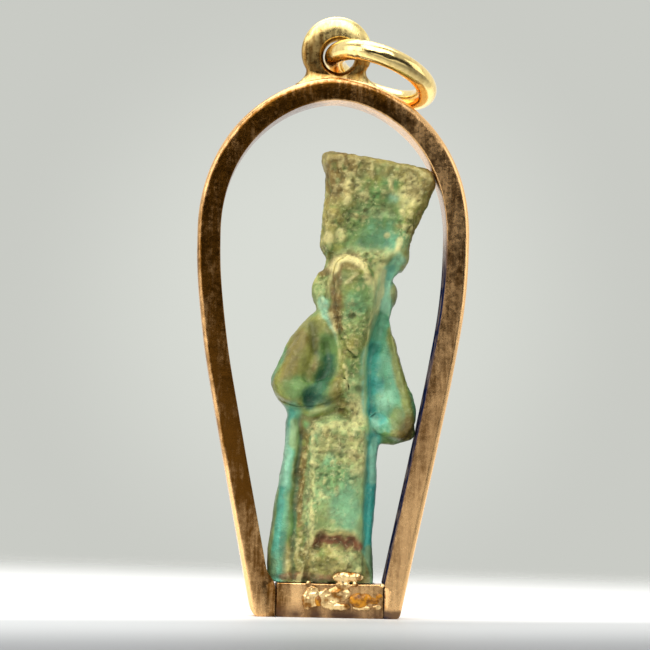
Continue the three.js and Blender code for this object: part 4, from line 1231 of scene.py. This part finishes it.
# Each lump: share of the bar's length and height, reach along, up and out.
SOLDER_LUMPS = [
    (0.335, 0.58, 0.44, 0.52, 0.12), (0.29, 0.44, 0.24, 0.34, 0.1), (0.34, 0.82, 0.34, 0.2, 0.15),
    (0.46, 0.6, 0.4, 0.42, 0.1), (0.58, 0.7, 0.58, 0.42, 0.12), (0.5, 0.4, 0.42, 0.24, 0.08),
    (0.62, 0.96, 0.4, 0.26, 0.15), (0.665, 1.19, 0.76, 0.26, 0.19), (0.57, 1.18, 0.34, 0.22, 0.19),
    (0.73, 1, 0.16, 0.14, 0.14), (0.3, 1.01, 0.15, 0.11, 0.12), (0.985, 0.94, 0.12, 0.11, 0.12),
    (0.6, 0.34, 0.5, 0.16, 0.09), (0.8, 0.31, 0.5, 0.13, 0.08), (0.94, 0.34, 0.24, 0.13, 0.08),
]
RESIN_LUMPS = [
    (0.775, 0.52, 0.5, 0.38, 0.16), (0.83, 0.58, 0.34, 0.28, 0.14), (0.9, 0.52, 0.34, 0.16, 0.1),
    (0.955, 0.66, 0.18, 0.14, 0.08), (0.39, 0.5, 0.18, 0.28, 0.19),
]

pieces = [
    (make_arch(), "arch", "gold", golds["brushed_gold"]),
    (make_bar(), "bar", "gold", golds["brushed_gold"]),
    (make_loop(), "hanging_loop", "gold", golds["loop_gold"]),
    (make_figure(), "figure", "faience", worn_faience()),
    (make_daub("solder_lumps", SOLDER_LUMPS, 0.05, 61), "solder", "solder", golds["solder_gold"]),
    (make_daub("resin_bead", RESIN_LUMPS, 0.03, 71), "resin", "resin", amber_resin()),
    (make_jump_ring(golds["bright_gold"]), "jump_ring", "gold", golds["bright_gold"]),
]
for piece, node, slot, finish in pieces:
    into_metres(piece)
    piece.data.materials.clear()
    piece.data.materials.append(finish)
    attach(piece, "root")
    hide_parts(node)

# ---- Table, light and camera, in metres ----------------------------------------------------

TABLE_RADIUS = 0.32
TABLE_SIDES = 96

rim_turn = angles(TABLE_SIDES)
rim = np.c_[np.cos(rim_turn), np.sin(rim_turn), np.zeros(TABLE_SIDES)] * TABLE_RADIUS
table = mesh_object("table", rim, [tuple(range(TABLE_SIDES))], smooth=False)
table.data.materials.append(pale_table())


def softbox(name, place, target, width, height, brightness):
    """A lamp that keeps its brightness when its size changes, and that the camera doesn't see."""
    light = bpy.data.lights.new(name, "AREA")
    light.shape = "RECTANGLE"
    light.size, light.size_y = width, height
    light.energy = brightness * math.pi * width * height
    lamp = in_scene(name, light)
    lamp.location = place
    look = Vector(target) - Vector(place)
    lamp.rotation_euler = look.to_track_quat("-Z", "Y").to_euler()
    lamp.visible_camera = False


softbox("top_softbox", (-0.02, 0.03, 0.20), (0, 0, 0.01), 0.20, 0.16, 2.8)
softbox("front_softbox", (-0.03, -0.14, 0.15), (0, 0, 0.018), 0.20, 0.15, 3.5)
softbox("left_softbox", (-0.20, -0.09, 0.07), (0, 0, 0.014), 0.14, 0.16, 2.2)
softbox("right_softbox", (0.20, -0.06, 0.07), (0, 0, 0.014), 0.12, 0.16, 1.2)
softbox("low_card", (0, -0.075, 0.002), (0, -0.03, 0.02), 0.10, 0.03, 0.7)


def studio_surround():
    """Pale grey behind and beside the pendant, and a darker room on the camera's side."""
    world = bpy.data.worlds.new("studio")
    bpy.context.scene.world = world
    studio = Nodes(world)
    studio.nodes.clear()
    way = studio.add("ShaderNodeTexCoord").outputs["Generated"]
    split = studio.add("ShaderNodeSeparateXYZ", Vector=way)
    behind = studio.band(split.outputs["Y"], -0.75, 0.3, 0.03, 0.95)
    above = studio.band(split.outputs["Z"], 0.18, 0.5, 0.0, 0.6)
    lit = studio.reckon("MAXIMUM", behind, above)
    room = studio.add("ShaderNodeBackground", Color=(1.0, 1.0, 0.98, 1), Strength=lit)
    # The backdrop carries a painted pool of light: a little lighter behind the pendant than
    # towards its edges.
    away = studio.add("ShaderNodeVectorMath")
    away.operation = "DISTANCE"
    studio.feed(away.inputs[0], way)
    studio.feed(away.inputs[1], Vector((0.036, 1, 0.05)).normalized())
    fade = studio.band(away.outputs["Value"], 0.02, 0.085)
    backdrop = studio.mix(fade, linear(217, 220, 213), linear(201, 203, 197))
    seen = studio.add("ShaderNodeBackground", Color=backdrop)
    path = studio.add("ShaderNodeLightPath")
    mix = studio.add("ShaderNodeMixShader")
    views = path.outputs["Is Camera Ray"], room.outputs["Background"], seen.outputs["Background"]
    for socket, value in zip(mix.inputs, views):
        studio.link(value, socket)
    studio.add("ShaderNodeOutputWorld", Surface=mix.outputs["Shader"])


studio_surround()
bpy.context.scene.view_settings.view_transform = "Standard"

EYE = Vector((-0.0075, -0.200, 0.006))
AIM = Vector((-0.000295, 0, 0.0148))
ROLL = math.radians(1.24)
FIELD_WIDTH = 0.03302
SENSOR_WIDTH = 36  # in millimetres, as Blender takes it

lens = bpy.data.cameras.new("camera")
camera = in_scene("camera", lens)
bpy.context.scene.camera = camera
forward = (AIM - EYE).normalized()
level_right = forward.cross(Vector((0, 0, 1))).normalized()
level_up = level_right.cross(forward)
right = level_right * math.cos(ROLL) + level_up * math.sin(ROLL)
up = level_up * math.cos(ROLL) - level_right * math.sin(ROLL)
facing = Matrix((right, up, -forward)).transposed().to_4x4()
camera.matrix_world = Matrix.Translation(EYE) @ facing
lens.sensor_width = SENSOR_WIDTH
lens.lens = SENSOR_WIDTH * (AIM - EYE).length / FIELD_WIDTH
lens.clip_start = 0.01
lens.clip_end = 10

bpy.context.view_layer.update()
